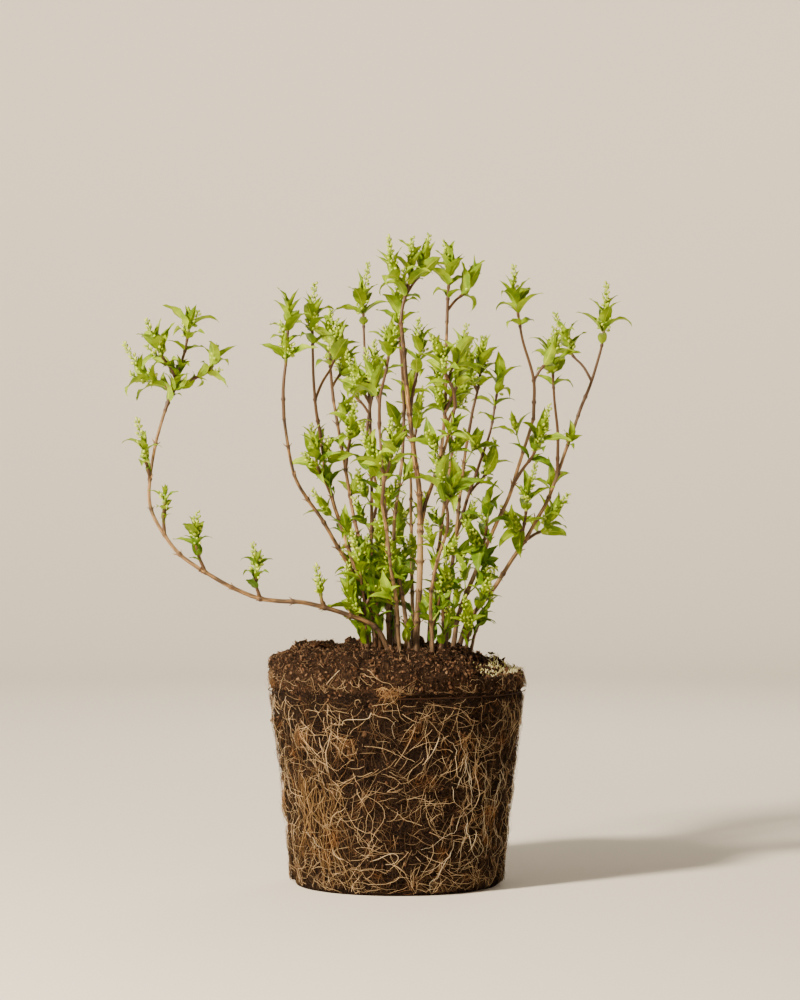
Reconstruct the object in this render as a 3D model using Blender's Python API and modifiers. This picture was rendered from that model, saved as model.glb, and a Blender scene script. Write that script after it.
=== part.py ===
"""Slender deutzia, knocked out of its pot, standing on its bare root ball.

Metres, +Z up. The origin is the middle of the ball's flat underside, +X is to the
right and +Y to the back. A clump of canes stands in the soil, thinner boughs leave
the canes, and every mass of foliage is one solid: three-sided shoots that fork from
one stem, with leaves in crossed pairs and a bud spike at the tips.
"""

import math
import random
from dataclasses import dataclass

import bmesh
import bpy
from mathutils import Vector, noise
from mathutils.bvhtree import BVHTree
from mathutils.geometry import interpolate_bezier

# Air between neighbouring solids
GAP = 0.0003

# Root ball, moulded by a round pot of about four litres
BALL_FOOT_R = 0.0765
BALL_FOOT_BEVEL = 0.003
BALL_SEAM_R = 0.0925
BALL_SEAM_Z = 0.141
BALL_SEAM_RIDGE = 0.0010
BALL_SEAM_STEP = 0.003
BALL_RIM_Z = 0.161
BALL_SHOULDER = 0.006
BALL_STEPS = 36
BALL_MERGE = 0.00001
WALL_RINGS = 5
BALL_LUMP = 0.0016
BALL_LUMP_SIZE = 0.022

# Soil: level round the canes, rising to the left and falling to the right outside them
SOIL_Z = 0.170
SOIL_LEVEL_R = 0.060
SOIL_CROWN = 0.003
SOIL_TILT = 0.055
SOIL_LUMP = 0.0035
SOIL_LUMP_SHIFT = Vector((7, 0, 0))

# Limbs
LIMB_BEVEL_RESOLUTION = 1
LIMB_STEPS = 3
LIMB_UPRIGHT = 0.003
LIMB_SIDES = 6
CUT_STEPS = 160

# Where a tube's first corner lies, and which way a shoot's first leaf looks
TUBE_SIDE = Vector((1, 0.13, 0.07))
LEAF_SIDE = Vector((0, 1, 0.2))

# Share of the carrier's heading with which a bough or a side shoot leaves it
BOUGH_LEAVE = 0.5
SIDE_LEAVE = 0.6

# Shoots of the foliage masses
SHOOT_R = 0.00095
SHOOT_TIP_R = 0.0006
SHOOT_STEPS = 3
SHOOT_SIDES = 3
SIDE_SHOOT_R = 0.0008
SIDE_SHOOT_ROOT_SHARE = 0.4
SIDE_SHOOT_RISE = 0.8
SIDE_SHOOT_LOWEST = 0.2
SIDE_SHOOT_HIGHEST = 0.7
SIDE_SHOOT_SEARCH = 0.05

# Leaves: lance-shaped, in crossed pairs, closest together at the tip
LEAF_LENGTH = 0.0265
LEAF_WIDTH_SHARE = 0.36
LEAF_WIDEST = 0.40
LEAF_THICK_SHARE = 0.030
LEAF_ARCH = 0.085
LEAF_FOLD = 0.10
LEAF_DROOP = 0.16
LEAF_ROOT_OUT = 0.00015
PAIR_DROPS = (0.0034, 0.0075, 0.0135, 0.0220, 0.0340, 0.0480)
PAIR_SIZES = (0.74, 1.00, 0.98, 0.80, 0.66, 0.58)
PAIR_SPREADS = (34.0, 52.0, 64.0, 72.0, 76.0, 78.0)
PAIR_QUARTER_TURN = math.radians(90)
PAIR_TURN_JITTER = math.radians(16)
LEAF_SPREAD_JITTER = math.radians(9)
LEAF_SIZE_RANGE = (0.84, 1.14)
LOWEST_PAIR = 0.85

# Spikes of round flower buds
SPIKE_SHARE = 0.80
SPIKE_LENGTHS = (0.013, 0.021)
SPIKE_R = 0.0027
SPIKE_SIDES = 5
SPIKE_RINGS = 4
SPIKE_LUMP = 0.16
SPIKE_TAPER = 0.3
SPIKE_LEAN = 0.25
SPIKE_ROOT = 0.0010

# How a leaf that touches another piece is moved before it is given up: turn, size
SECOND_TRIES = ((0.0, 1.0), (0.6, 1.0), (-0.6, 1.0), (0.0, 0.72), (0.8, 0.72), (-0.8, 0.72))
CLEARANCE = 0.0005

# Points of a fused mass nearer than this become one
MERGE = 0.000001


@dataclass(frozen=True)
class Limb:
    """A tapering cane or bough: where it starts, bends and ends, and its two diameters."""

    name: str
    bends: tuple
    tip: tuple
    diameters: tuple
    foot: tuple = ()
    on: str = ""
    at: float = 1.0
    clear_of: str = ""


@dataclass(frozen=True)
class Mass:
    """A mass of foliage: the ends of its shoots, the main one first, and what carries it."""

    name: str
    tips: tuple
    on: str = ""
    at: float = 1.0
    foot: tuple = ()
    pairs: int = 4
    leaf: float = 1.0


# Canes stand in the soil at their foot (x, y). Boughs leave a limb at a share of its length.
LIMBS = (
    Limb("arching_cane_run", ((-0.054, -0.038, 0.203), (-0.100, -0.042, 0.2095)),
         (-0.141, -0.046, 0.230), (0.0036, 0.0029), foot=(-0.007, -0.026)),
    Limb("arching_cane_rise", ((-0.174, -0.045, 0.269), (-0.176, -0.041, 0.302)),
         (-0.166, -0.036, 0.344), (0.0029, 0.0022), on="arching_cane_run"),
    Limb("left_cane", ((-0.045, -0.015, 0.249), (-0.073, -0.027, 0.296)), (-0.081, -0.034, 0.338),
         (0.0034, 0.0022), foot=(-0.013, 0.002)),
    Limb("forked_cane", ((-0.039, 0.010, 0.253), (-0.050, 0.006, 0.289)), (-0.056, -0.004, 0.325),
         (0.0036, 0.0024), foot=(-0.016, 0.014)),
    Limb("rear_left_cane", ((-0.032, 0.064, 0.264),), (-0.048, 0.086, 0.353), (0.0034, 0.0022),
         foot=(-0.013, 0.030)),
    Limb("middle_cane", ((-0.019, 0.044, 0.257),), (-0.019, 0.060, 0.316), (0.0032, 0.0022),
         foot=(-0.021, 0.022)),
    Limb("slim_cane", ((-0.007, -0.014, 0.251),), (-0.013, -0.026, 0.331), (0.0032, 0.0020),
         foot=(-0.006, -0.006)),
    Limb("inner_cane", ((-0.002, -0.004, 0.251),), (0.004, 0.008, 0.308), (0.0034, 0.0022),
         foot=(0.008, -0.012)),
    Limb("main_stem", ((0.016, -0.038, 0.216),), (0.017, -0.040, 0.263), (0.0056, 0.0052),
         foot=(0.014, -0.036)),
    Limb("main_stem_left", ((0.010, -0.054, 0.330),), (0.003, -0.066, 0.405), (0.0042, 0.0029),
         on="main_stem"),
    Limb("main_stem_right", ((0.032, -0.026, 0.315),), (0.036, -0.006, 0.409), (0.0030, 0.0021),
         on="main_stem", at=0.94, clear_of="main_stem_left"),
    Limb("main_stem_front", ((0.033, -0.054, 0.313),), (0.041, -0.070, 0.346), (0.0024, 0.0019),
         on="main_stem_right", at=0.16),
    Limb("cut_stub", (), (0.033, -0.020, 0.209), (0.0038, 0.0034), foot=(0.034, -0.017)),
    Limb("front_cane", ((0.025, -0.058, 0.217),), (0.035, -0.074, 0.258), (0.0030, 0.0020),
         foot=(0.025, -0.050)),
    Limb("rear_right_cane", ((0.042, 0.046, 0.240),), (0.053, 0.078, 0.324), (0.0034, 0.0022),
         foot=(0.036, 0.020)),
    Limb("right_cane", ((0.056, -0.004, 0.224), (0.080, -0.016, 0.280)), (0.098, -0.028, 0.338),
         (0.0036, 0.0023), foot=(0.041, 0.000)),
    Limb("far_right_cane", ((0.072, 0.020, 0.215), (0.108, 0.026, 0.273)), (0.134, 0.034, 0.341),
         (0.0036, 0.0023), foot=(0.046, 0.014)),
    Limb("back_left_cane", ((-0.007, 0.080, 0.245),), (-0.022, 0.112, 0.317), (0.0034, 0.0021),
         foot=(0.000, 0.036)),
    Limb("back_right_cane", ((0.032, 0.084, 0.245),), (0.042, 0.116, 0.313), (0.0034, 0.0021),
         foot=(0.024, 0.036)),
    Limb("back_cane", ((0.011, 0.096, 0.241),), (0.010, 0.128, 0.297), (0.0032, 0.0021),
         foot=(0.012, 0.042)),
    Limb("leaning_cane", ((-0.005, -0.080, 0.239),), (-0.010, -0.098, 0.278), (0.0030, 0.0020),
         foot=(0.002, -0.044)),
)

MASSES = (
    Mass("arch_crown", ((-0.149, -0.028, 0.408), (-0.172, -0.044, 0.393), (-0.130, -0.022, 0.381),
         (-0.181, -0.036, 0.371)), on="arching_cane_rise", pairs=5),
    Mass("arch_side_tuft", ((-0.180, -0.056, 0.318),), on="arching_cane_rise", at=0.60, leaf=0.85),
    Mass("arch_bend_tuft", ((-0.165, -0.052, 0.286),), on="arching_cane_rise", at=0.27, pairs=3,
         leaf=0.60),
    Mass("arch_spray_left", ((-0.144, -0.050, 0.259),), on="arching_cane_run", at=0.97, pairs=3,
         leaf=0.75),
    Mass("arch_spray_middle", ((-0.101, -0.044, 0.236),), on="arching_cane_run", at=0.69, pairs=3,
         leaf=0.70),
    Mass("arch_spray_right", ((-0.055, -0.040, 0.219),), on="arching_cane_run", at=0.39, pairs=3,
         leaf=0.55),
    Mass("left_crown", ((-0.077, -0.032, 0.413), (-0.080, -0.040, 0.386)), on="left_cane"),
    Mass("forked_crown", ((-0.061, -0.018, 0.413), (-0.044, 0.014, 0.393)), on="forked_cane"),
    Mass("forked_side_tuft", ((-0.060, -0.012, 0.315),), on="forked_cane", at=0.72),
    Mass("rear_left_crown", ((-0.051, 0.084, 0.401), (-0.039, 0.096, 0.383)), on="rear_left_cane"),
    Mass("rear_left_tuft", ((-0.034, 0.060, 0.335),), on="rear_left_cane", at=0.72),
    Mass("middle_crown", ((-0.026, 0.080, 0.431), (-0.029, 0.066, 0.367)), on="middle_cane"),
    Mass("middle_tuft", ((-0.010, 0.032, 0.305),), on="middle_cane", at=0.58),
    Mass("slim_crown", ((-0.005, -0.034, 0.395), (-0.017, -0.020, 0.364)), on="slim_cane"),
    Mass("inner_crown", ((0.001, 0.010, 0.420), (0.010, 0.020, 0.359)), on="inner_cane"),
    Mass("main_left_crown", ((0.010, -0.058, 0.444), (-0.001, -0.066, 0.442), (0.019, -0.050, 0.449)),
         on="main_stem_left"),
    Mass("main_left_tuft", ((0.017, -0.048, 0.391),), on="main_stem_left", at=0.55),
    Mass("summit_crown", ((0.038, -0.004, 0.447), (0.053, 0.006, 0.438)), on="main_stem_right"),
    Mass("main_right_tuft", ((0.046, -0.022, 0.373),), on="main_stem_right", at=0.52),
    Mass("main_front_crown", ((0.031, -0.084, 0.381), (0.045, -0.070, 0.385)),
         on="main_stem_front"),
    Mass("front_crown", ((0.031, -0.066, 0.298), (0.039, -0.082, 0.290)), on="front_cane"),
    Mass("rear_right_crown", ((0.064, 0.094, 0.385), (0.054, 0.084, 0.375)),
         on="rear_right_cane"),
    Mass("rear_right_twig", ((0.077, 0.098, 0.370), (0.070, 0.084, 0.307)), on="rear_right_cane",
         at=0.52, pairs=5),
    Mass("right_crown", ((0.084, -0.040, 0.425), (0.111, -0.030, 0.387)), on="right_cane"),
    Mass("right_side_tuft", ((0.102, -0.042, 0.326),), on="right_cane", at=0.72),
    Mass("right_low_tuft", ((0.066, -0.022, 0.272), (0.058, -0.020, 0.248)), on="right_cane",
         at=0.36),
    Mass("far_right_crown", ((0.154, 0.034, 0.415), (0.126, 0.046, 0.397)), on="far_right_cane"),
    Mass("far_right_tuft", ((0.113, 0.002, 0.383),), on="far_right_cane", at=0.76),
    Mass("far_right_panicle", ((0.095, 0.018, 0.283), (0.085, 0.008, 0.259)), on="far_right_cane",
         at=0.44),
    Mass("far_right_low_tuft", ((0.112, 0.038, 0.263),), on="far_right_cane", at=0.48, pairs=3),
    Mass("base_left_shoots", ((-0.027, -0.026, 0.234), (-0.033, -0.022, 0.208),
         (-0.009, -0.018, 0.224)), foot=(-0.021, -0.014), pairs=5),
    Mass("base_back_shoots", ((-0.012, 0.020, 0.244), (0.000, 0.004, 0.213)),
         foot=(-0.004, 0.012), pairs=5),
    Mass("base_middle_shoots", ((0.035, -0.018, 0.222), (0.027, -0.010, 0.199)),
         foot=(0.024, -0.006), leaf=0.85),
    Mass("base_right_shoots", ((0.063, -0.014, 0.212), (0.051, -0.022, 0.194)),
         foot=(0.050, -0.010), leaf=0.85),
    Mass("back_left_crown", ((-0.017, 0.128, 0.377), (-0.035, 0.122, 0.364)),
         on="back_left_cane"),
    Mass("back_right_crown", ((0.033, 0.124, 0.366), (0.050, 0.132, 0.359)),
         on="back_right_cane"),
    Mass("back_crown", ((0.016, 0.144, 0.344), (0.001, 0.140, 0.336)), on="back_cane"),
    Mass("leaning_crown", ((-0.003, -0.112, 0.318), (-0.017, -0.110, 0.313)), on="leaning_cane"),
)

SOIL_BROWN = (0.050, 0.030, 0.018)
BARK_TAN = (0.430, 0.250, 0.150)
LEAF_GREEN = (0.230, 0.390, 0.030)


class Route:
    """A smooth way through its places, with a radius that tapers evenly along it."""

    def __init__(self, places, radii, start=None, end=None, steps=LIMB_STEPS):
        places = [Vector(place) for place in places]
        ahead = [b - a for a, b in zip(places, places[1:])]
        headings = [start or ahead[0]]
        headings += [a + b for a, b in zip(ahead, ahead[1:])]
        headings += [end or ahead[-1]]
        self.points = [places[0]]
        for n, leg in enumerate(ahead):
            reach = leg.length / 3
            leave = places[n] + headings[n].normalized() * reach
            arrive = places[n + 1] - headings[n + 1].normalized() * reach
            self.points += interpolate_bezier(places[n], leave, arrive, places[n + 1], steps + 1)[1:]
        self.radii = radii
        self.root_share = 1.0

    def lengths(self):
        """Distance from the foot to each point."""
        total = [0.0]
        for a, b in zip(self.points, self.points[1:]):
            total.append(total[-1] + (b - a).length)
        return total

    def at(self, share):
        """The point, heading and radius at a share of the length."""
        run = self.lengths()
        wanted = max(0.0, min(1.0, share)) * run[-1]
        n = 0
        while n < len(run) - 2 and run[n + 1] < wanted:
            n += 1
        leg = self.points[n + 1] - self.points[n]
        point = self.points[n] + leg * ((wanted - run[n]) / (run[n + 1] - run[n]))
        radius = self.radii[0] + (self.radii[1] - self.radii[0]) * wanted / run[-1]
        return point, leg.normalized(), radius

    def radius_at_points(self):
        """The radius at each point, slimmer at a foot that is sunk into another shoot."""
        run = self.lengths()
        radii = [self.radii[0] + (self.radii[1] - self.radii[0]) * d / run[-1] for d in run]
        return [radii[0] * self.root_share, *radii[1:]]

    def distance(self, place):
        """How far a place is from the middle line, and the radius and heading there."""
        best = (math.inf, 0.0, Vector((0, 0, 1)))
        radii = self.radius_at_points()
        for n, (a, b) in enumerate(zip(self.points, self.points[1:])):
            leg = b - a
            share = max(0.0, min(1.0, (place - a).dot(leg) / leg.length_squared))
            away = (place - a - leg * share).length
            if away < best[0]:
                best = (away, radii[n], leg.normalized())
        return best

    def lift_off(self, heading):
        """Lift the foot so far along the heading that its tilted end face keeps a gap."""
        first_leg = (self.points[1] - self.points[0]).normalized()
        tilt = math.sin(first_leg.angle(heading))
        self.points[0] = self.points[0] + heading * (GAP + self.radii[0] * tilt)

    def cut_clear(self, carrier):
        """Shorten the start until its end face is a gap away from the carrier."""
        for n in range(CUT_STEPS):
            place, heading, radius = self.at(n / CUT_STEPS)
            away, carrier_radius, carrier_heading = carrier.distance(place)
            if away >= carrier_radius + GAP + radius * abs(heading.dot(carrier_heading)):
                break
        run = self.lengths()
        kept = [p for p, d in zip(self.points, run) if d > run[-1] * n / CUT_STEPS + 2 * GAP]
        self.points = [place] + kept


def tube(points, radii, sides):
    """Corners and faces of a closed tube along the points."""
    corners = []
    side = TUBE_SIDE
    for n, point in enumerate(points):
        heading = (points[min(n + 1, len(points) - 1)] - points[max(n - 1, 0)]).normalized()
        side = (side - heading * side.dot(heading)).normalized()
        other = heading.cross(side)
        for k in range(sides):
            angle = math.tau * k / sides
            away = side * math.cos(angle) + other * math.sin(angle)
            corners.append(point + away * radii[n])
    faces = [tuple(reversed(range(sides)))]
    for ring in range(0, sides * (len(points) - 1), sides):
        for k in range(sides):
            after = (k + 1) % sides
            faces.append((ring + k, ring + after, ring + sides + after, ring + sides + k))
    faces.append(tuple(range(len(corners) - sides, len(corners))))
    return corners, faces


def unit_ball(sides, rings):
    """Corners and faces of a coarse round body of radius 1."""
    bm = bmesh.new()
    bmesh.ops.create_uvsphere(bm, u_segments=sides, v_segments=rings, radius=1.0)
    corners = [v.co.copy() for v in bm.verts]
    faces = [tuple(v.index for v in f.verts) for f in bm.faces]
    bm.free()
    return corners, faces


class Leaf:
    """A folded, arching leaf of eight faces: an eight-sided ball drawn out to a lance shape."""

    def __init__(self, root, heading, upper, length):
        self.root, self.heading, self.upper, self.length = root, heading, upper, length

    def solid(self, form, extra=0.0):
        """Corners and faces, swollen all over by extra."""
        across = self.upper.cross(self.heading)
        half_width = self.length * LEAF_WIDTH_SHARE / 2 + extra
        half_thick = self.length * LEAF_THICK_SHARE / 2 + extra
        corners = []
        for corner in form[0]:
            share = LEAF_WIDEST if abs(corner.x) < 0.5 else (corner.x + 1) / 2
            along = self.length * share + extra * round(corner.x)
            rise = LEAF_ARCH * math.sin(math.pi * share) - LEAF_DROOP * share ** 3
            rise += LEAF_FOLD * LEAF_WIDTH_SHARE * abs(corner.y)
            corners.append(self.root + self.heading * along + across * (corner.y * half_width)
                           + self.upper * (rise * self.length + corner.z * half_thick))
        return corners, form[1]


class Spike:
    """A lumpy spike of round buds."""

    def __init__(self, root, heading, length):
        self.root, self.heading, self.length = root, heading, length

    def solid(self, form, extra=0.0):
        """Corners and faces, swollen all over by extra."""
        side = self.heading.orthogonal().normalized()
        across = self.heading.cross(side)
        corners = []
        for corner in form[0]:
            ring = round((corner.z + 1) * SPIKE_RINGS)
            lump = 1 + SPIKE_LUMP * (-1) ** ring
            slim = 1 - SPIKE_TAPER * (corner.z + 1) / 2
            reach = SPIKE_R * lump * slim + extra
            corners.append(self.root + self.heading * (self.length * (corner.z + 1) / 2)
                           + (side * corner.x + across * corner.y) * reach)
        return corners, form[1]


class Space:
    """The room already taken, piece by piece, and by which node."""

    def __init__(self):
        self.pieces = []

    def take(self, owner, solid):
        """Note a piece that stays."""
        low, high = box_of(solid[0])
        self.pieces.append((owner, low, high, BVHTree.FromPolygons(*solid)))

    def is_free(self, owner, solid):
        """Whether no piece of another node meets this solid."""
        low, high = box_of(solid[0])
        tree = None
        for other, other_low, other_high, other_tree in self.pieces:
            if other == owner or any(low[k] > other_high[k] or high[k] < other_low[k] for k in range(3)):
                continue
            tree = tree or BVHTree.FromPolygons(*solid)
            if tree.overlap(other_tree):
                return False
        return True


def box_of(corners):
    """Lowest and highest corner of the box round some places."""
    low = tuple(min(c[k] for c in corners) for k in range(3))
    high = tuple(max(c[k] for c in corners) for k in range(3))
    return low, high


def limb_routes():
    """The route of each limb by name, carried ones cut clear of their carriers."""
    routes = {}
    for limb in LIMBS:
        radii = [d / 2 for d in limb.diameters]
        if limb.foot:
            foot = Vector((*limb.foot, SOIL_Z + GAP))
            upright = foot + Vector((0, 0, LIMB_UPRIGHT))
            routes[limb.name] = Route((upright, *limb.bends, limb.tip), radii, Vector((0, 0, 1)))
            routes[limb.name].points.insert(0, foot)
            continue
        carrier = routes[limb.on]
        foot, heading, _ = carrier.at(limb.at)
        route = Route((foot, *limb.bends, limb.tip), radii, heading)
        if limb.at == 1.0:
            route.lift_off(heading)
        else:
            route.cut_clear(carrier)
        if limb.clear_of:
            route.cut_clear(routes[limb.clear_of])
        routes[limb.name] = route
    return routes


def shoot_routes(mass, limbs):
    """The routes of a mass's shoots: the main one from its carrier, the others from the main one."""
    up = Vector((0, 0, 1))
    if mass.foot:
        foot = Vector((*mass.foot, SOIL_Z + GAP))
        main = Route((foot, mass.tips[0]), (SHOOT_R, SHOOT_TIP_R), up, None, SHOOT_STEPS)
        main.points.insert(1, foot + up * SHOOT_R)
    else:
        carrier = limbs[mass.on]
        foot, heading, radius = carrier.at(mass.at)
        tip = Vector(mass.tips[0])
        thick = min(SHOOT_R, radius)
        if mass.at == 1.0:
            main = Route((foot, tip), (thick, SHOOT_TIP_R), heading, up, SHOOT_STEPS)
            main.lift_off(heading)
        else:
            leave = (tip - foot).normalized() + heading * BOUGH_LEAVE
            main = Route((foot, tip), (thick, SHOOT_TIP_R), leave, up, SHOOT_STEPS)
            main.cut_clear(carrier)
    shoots = [main]
    for tip in mass.tips[1:]:
        tip = Vector(tip)
        start, heading, _ = main.at(side_shoot_share(main, tip))
        leave = (tip - start).normalized() + heading * SIDE_LEAVE
        side = Route((start, tip), (SIDE_SHOOT_R, SHOOT_TIP_R), leave, up, SHOOT_STEPS)
        side.root_share = SIDE_SHOOT_ROOT_SHARE
        shoots.append(side)
    return shoots


def side_shoot_share(main, tip):
    """The highest place on the main shoot from which a side shoot still rises steeply to its tip."""
    share = SIDE_SHOOT_HIGHEST
    while share > SIDE_SHOOT_LOWEST:
        way = tip - main.at(share)[0]
        if way.z >= SIDE_SHOOT_RISE * way.length:
            break
        share -= SIDE_SHOOT_SEARCH
    return share


def leaf_on(shoot, drop, turn, spread, length):
    """A leaf that leaves the shoot a drop below its tip, turned about it and spread from it."""
    run = shoot.lengths()[-1]
    point, heading, _ = shoot.at(1 - drop / run)
    side = heading.cross(LEAF_SIDE).normalized()
    outward = side * math.cos(turn) + heading.cross(side) * math.sin(turn)
    way = heading * math.cos(spread) + outward * math.sin(spread)
    upper = (heading * math.sin(spread) - outward * math.cos(spread)).normalized()
    return Leaf(point + way * LEAF_ROOT_OUT, way, upper, length)


def grow_mass(mass, shoots, space, forms):
    """The solids of a mass: shoots, then leaves in crossed pairs and a bud spike on each."""
    rule = random.Random(mass.name)
    leaf_form, spike_form = forms
    solids = [tube(s.points, s.radius_at_points(), SHOOT_SIDES) for s in shoots]
    for order, shoot in enumerate(shoots):
        run = shoot.lengths()[-1]
        first_turn = rule.uniform(0, math.pi)
        has_spike = rule.random() < SPIKE_SHARE
        lean = Vector([rule.uniform(-SPIKE_LEAN, SPIKE_LEAN) for _ in range(3)])
        spike_length = rule.uniform(*SPIKE_LENGTHS)
        for pair in range(mass.pairs - min(order, 1)):
            turn = first_turn + PAIR_QUARTER_TURN * pair
            turn += rule.uniform(-PAIR_TURN_JITTER, PAIR_TURN_JITTER)
            for half in (0, math.pi):
                size = LEAF_LENGTH * mass.leaf * PAIR_SIZES[pair] * rule.uniform(*LEAF_SIZE_RANGE)
                spread = math.radians(PAIR_SPREADS[pair])
                spread += rule.uniform(-LEAF_SPREAD_JITTER, LEAF_SPREAD_JITTER)
                if PAIR_DROPS[pair] > run * LOWEST_PAIR:
                    continue
                for more_turn, share in SECOND_TRIES:
                    leaf = leaf_on(shoot, PAIR_DROPS[pair], turn + half + more_turn, spread, size * share)
                    if space.is_free(mass.name, leaf.solid(leaf_form, CLEARANCE)):
                        solids.append(leaf.solid(leaf_form))
                        space.take(mass.name, solids[-1])
                        break
        if has_spike:
            tip, heading, _ = shoot.at(1.0)
            way = (heading + lean).normalized()
            spike = Spike(tip - way * SPIKE_ROOT, way, spike_length * mass.leaf + SPIKE_ROOT)
            if space.is_free(mass.name, spike.solid(spike_form, CLEARANCE)):
                solids.append(spike.solid(spike_form))
                space.take(mass.name, solids[-1])
    return solids


def material(name, colour, roughness):
    """A plain Principled material."""
    made = bpy.data.materials.new(name + "_finish")
    made.use_nodes = True
    shader = made.node_tree.nodes["Principled BSDF"]
    shader.inputs["Base Color"].default_value = (*colour, 1.0)
    shader.inputs["Roughness"].default_value = roughness
    shader.inputs["Metallic"].default_value = 0.0
    return made


def mesh_object(name, solid, collection):
    """A mesh object made from corners and faces."""
    mesh = bpy.data.meshes.new(name)
    mesh.from_pydata([tuple(c) for c in solid[0]], [], solid[1])
    made = bpy.data.objects.new(name, mesh)
    collection.objects.link(made)
    return made


def evaluated_mesh(made):
    """The object's mesh with its modifiers applied."""
    bpy.context.view_layer.update()
    depsgraph = bpy.context.evaluated_depsgraph_get()
    return bpy.data.meshes.new_from_object(made.evaluated_get(depsgraph))


def is_closed(bm):
    """Whether every edge joins two faces that run the same way round."""
    return all(e.is_manifold and e.is_contiguous for e in bm.edges)


def keep_one_body(mesh):
    """Keep the largest closed body of a mesh, which fills sealed hollows and drops scraps."""
    bm = bmesh.new()
    bm.from_mesh(mesh)
    bmesh.ops.remove_doubles(bm, verts=bm.verts, dist=MERGE)
    if not is_closed(bm):
        bm.clear()
        bm.from_mesh(mesh)
    left = set(bm.verts)
    bodies = []
    while left:
        body = {left.pop()}
        edge_of_body = list(body)
        while edge_of_body:
            vert = edge_of_body.pop()
            near = {e.other_vert(vert) for e in vert.link_edges} - body
            body |= near
            edge_of_body += near
        left -= body
        bodies.append(body)
    largest = max(bodies, key=len)
    scraps = [v for v in bm.verts if v not in largest]
    bmesh.ops.delete(bm, geom=scraps, context="VERTS")
    bmesh.ops.triangulate(bm, faces=bm.faces)
    closed = is_closed(bm)
    bm.to_mesh(mesh)
    bm.free()
    return closed


def fuse(name, solids, collection):
    """One body from the solids, with its last leaves left off where it won't close."""
    mesh = None
    while mesh is None:
        mesh = union_of(name, solids, collection)
        solids = solids[:-1]
    made = bpy.data.objects.new(name, mesh)
    collection.objects.link(made)
    return made


def union_of(name, solids, collection):
    """A Boolean union of the first solid with a collection of the others, or None if it stays open."""
    for solver in ("EXACT", "MANIFOLD"):
        pieces = bpy.data.collections.new(name + "_pieces")
        bpy.context.scene.collection.children.link(pieces)
        first = mesh_object(name + "_first", solids[0], collection)
        for n, solid in enumerate(solids[1:]):
            mesh_object(f"{name}_piece_{n}", solid, pieces)
        union = first.modifiers.new("union", "BOOLEAN")
        union.operation = "UNION"
        union.operand_type = "COLLECTION"
        union.collection = pieces
        union.solver = solver
        mesh = evaluated_mesh(first)
        for piece in [*pieces.objects, first]:
            bpy.data.objects.remove(piece)
        bpy.data.collections.remove(pieces)
        if keep_one_body(mesh):
            return mesh
    return None


def ball_profile():
    """The ball's outline from the middle of the soil down to the edge of its foot, as (r, z)."""
    outline = [(0.0, SOIL_Z), (SOIL_LEVEL_R * 0.5, SOIL_Z), (SOIL_LEVEL_R, SOIL_Z)]
    shoulder_r = BALL_SEAM_R - BALL_SHOULDER
    outline.append(((SOIL_LEVEL_R + shoulder_r) / 2, (SOIL_Z + BALL_RIM_Z) / 2 + SOIL_CROWN))
    for n in range(4):
        angle = math.radians(90 - 30 * n)
        outline.append((shoulder_r + BALL_SHOULDER * math.cos(angle),
                        BALL_RIM_Z - BALL_SHOULDER * (1 - math.sin(angle))))
    outline.append((BALL_SEAM_R + BALL_SEAM_RIDGE, BALL_SEAM_Z + BALL_SEAM_STEP))
    for n in range(WALL_RINGS):
        share = 1 - n / WALL_RINGS
        outline.append((BALL_FOOT_R + (BALL_SEAM_R - BALL_FOOT_R) * share, BALL_SEAM_Z * share))
    outline.append((BALL_FOOT_R, BALL_FOOT_BEVEL))
    outline.append((BALL_FOOT_R - BALL_FOOT_BEVEL, 0.0))
    return outline


def roughen_ball(place):
    """Where a point of the turned ball goes once the ball is lumpy and its soil uneven."""
    radius = place.xy.length
    if place.z <= 0 or radius <= SOIL_LEVEL_R + GAP:
        return place
    lump = noise.noise(place / BALL_LUMP_SIZE)
    outward = Vector((place.x, place.y, 0)) / radius
    moved = place + outward * (lump * BALL_LUMP)
    if place.z > BALL_SEAM_Z:
        height = (place.z - BALL_SEAM_Z) / (SOIL_Z - BALL_SEAM_Z)
        lift = SOIL_LUMP * noise.noise(place / BALL_LUMP_SIZE + SOIL_LUMP_SHIFT)
        lift -= SOIL_TILT * place.x
        moved.z += lift * height
    return moved


def build_ball(collection):
    """The root ball: a turned outline, closed by a flat underside and made uneven."""
    outline = bpy.data.meshes.new("ball_outline")
    places = [(r, 0.0, z) for r, z in ball_profile()]
    outline.from_pydata(places, [(n, n + 1) for n in range(len(places) - 1)], [])
    turned = bpy.data.objects.new("ball_outline", outline)
    collection.objects.link(turned)
    screw = turned.modifiers.new("turn", "SCREW")
    screw.steps = BALL_STEPS
    screw.render_steps = BALL_STEPS
    screw.use_merge_vertices = True
    screw.merge_threshold = BALL_MERGE
    mesh = evaluated_mesh(turned)
    bpy.data.objects.remove(turned)
    bm = bmesh.new()
    bm.from_mesh(mesh)
    bmesh.ops.remove_doubles(bm, verts=bm.verts, dist=BALL_MERGE)
    for vert in bm.verts:
        vert.co = roughen_ball(vert.co)
    bmesh.ops.holes_fill(bm, edges=[e for e in bm.edges if e.is_boundary], sides=0)
    bmesh.ops.recalc_face_normals(bm, faces=bm.faces)
    bm.to_mesh(mesh)
    bm.free()
    made = bpy.data.objects.new("root_ball", mesh)
    collection.objects.link(made)
    return made


def build_limb(name, route, collection):
    """A limb: a round bevelled curve with closed ends."""
    curve = bpy.data.curves.new(name, "CURVE")
    curve.dimensions = "3D"
    curve.bevel_depth = 1.0
    curve.bevel_resolution = LIMB_BEVEL_RESOLUTION
    curve.use_fill_caps = True
    spline = curve.splines.new("POLY")
    spline.points.add(len(route.points) - 1)
    for point, place, radius in zip(spline.points, route.points, route.radius_at_points()):
        point.co = (*place, 1.0)
        point.radius = radius
    made = bpy.data.objects.new(name, curve)
    collection.objects.link(made)
    return made


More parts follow.
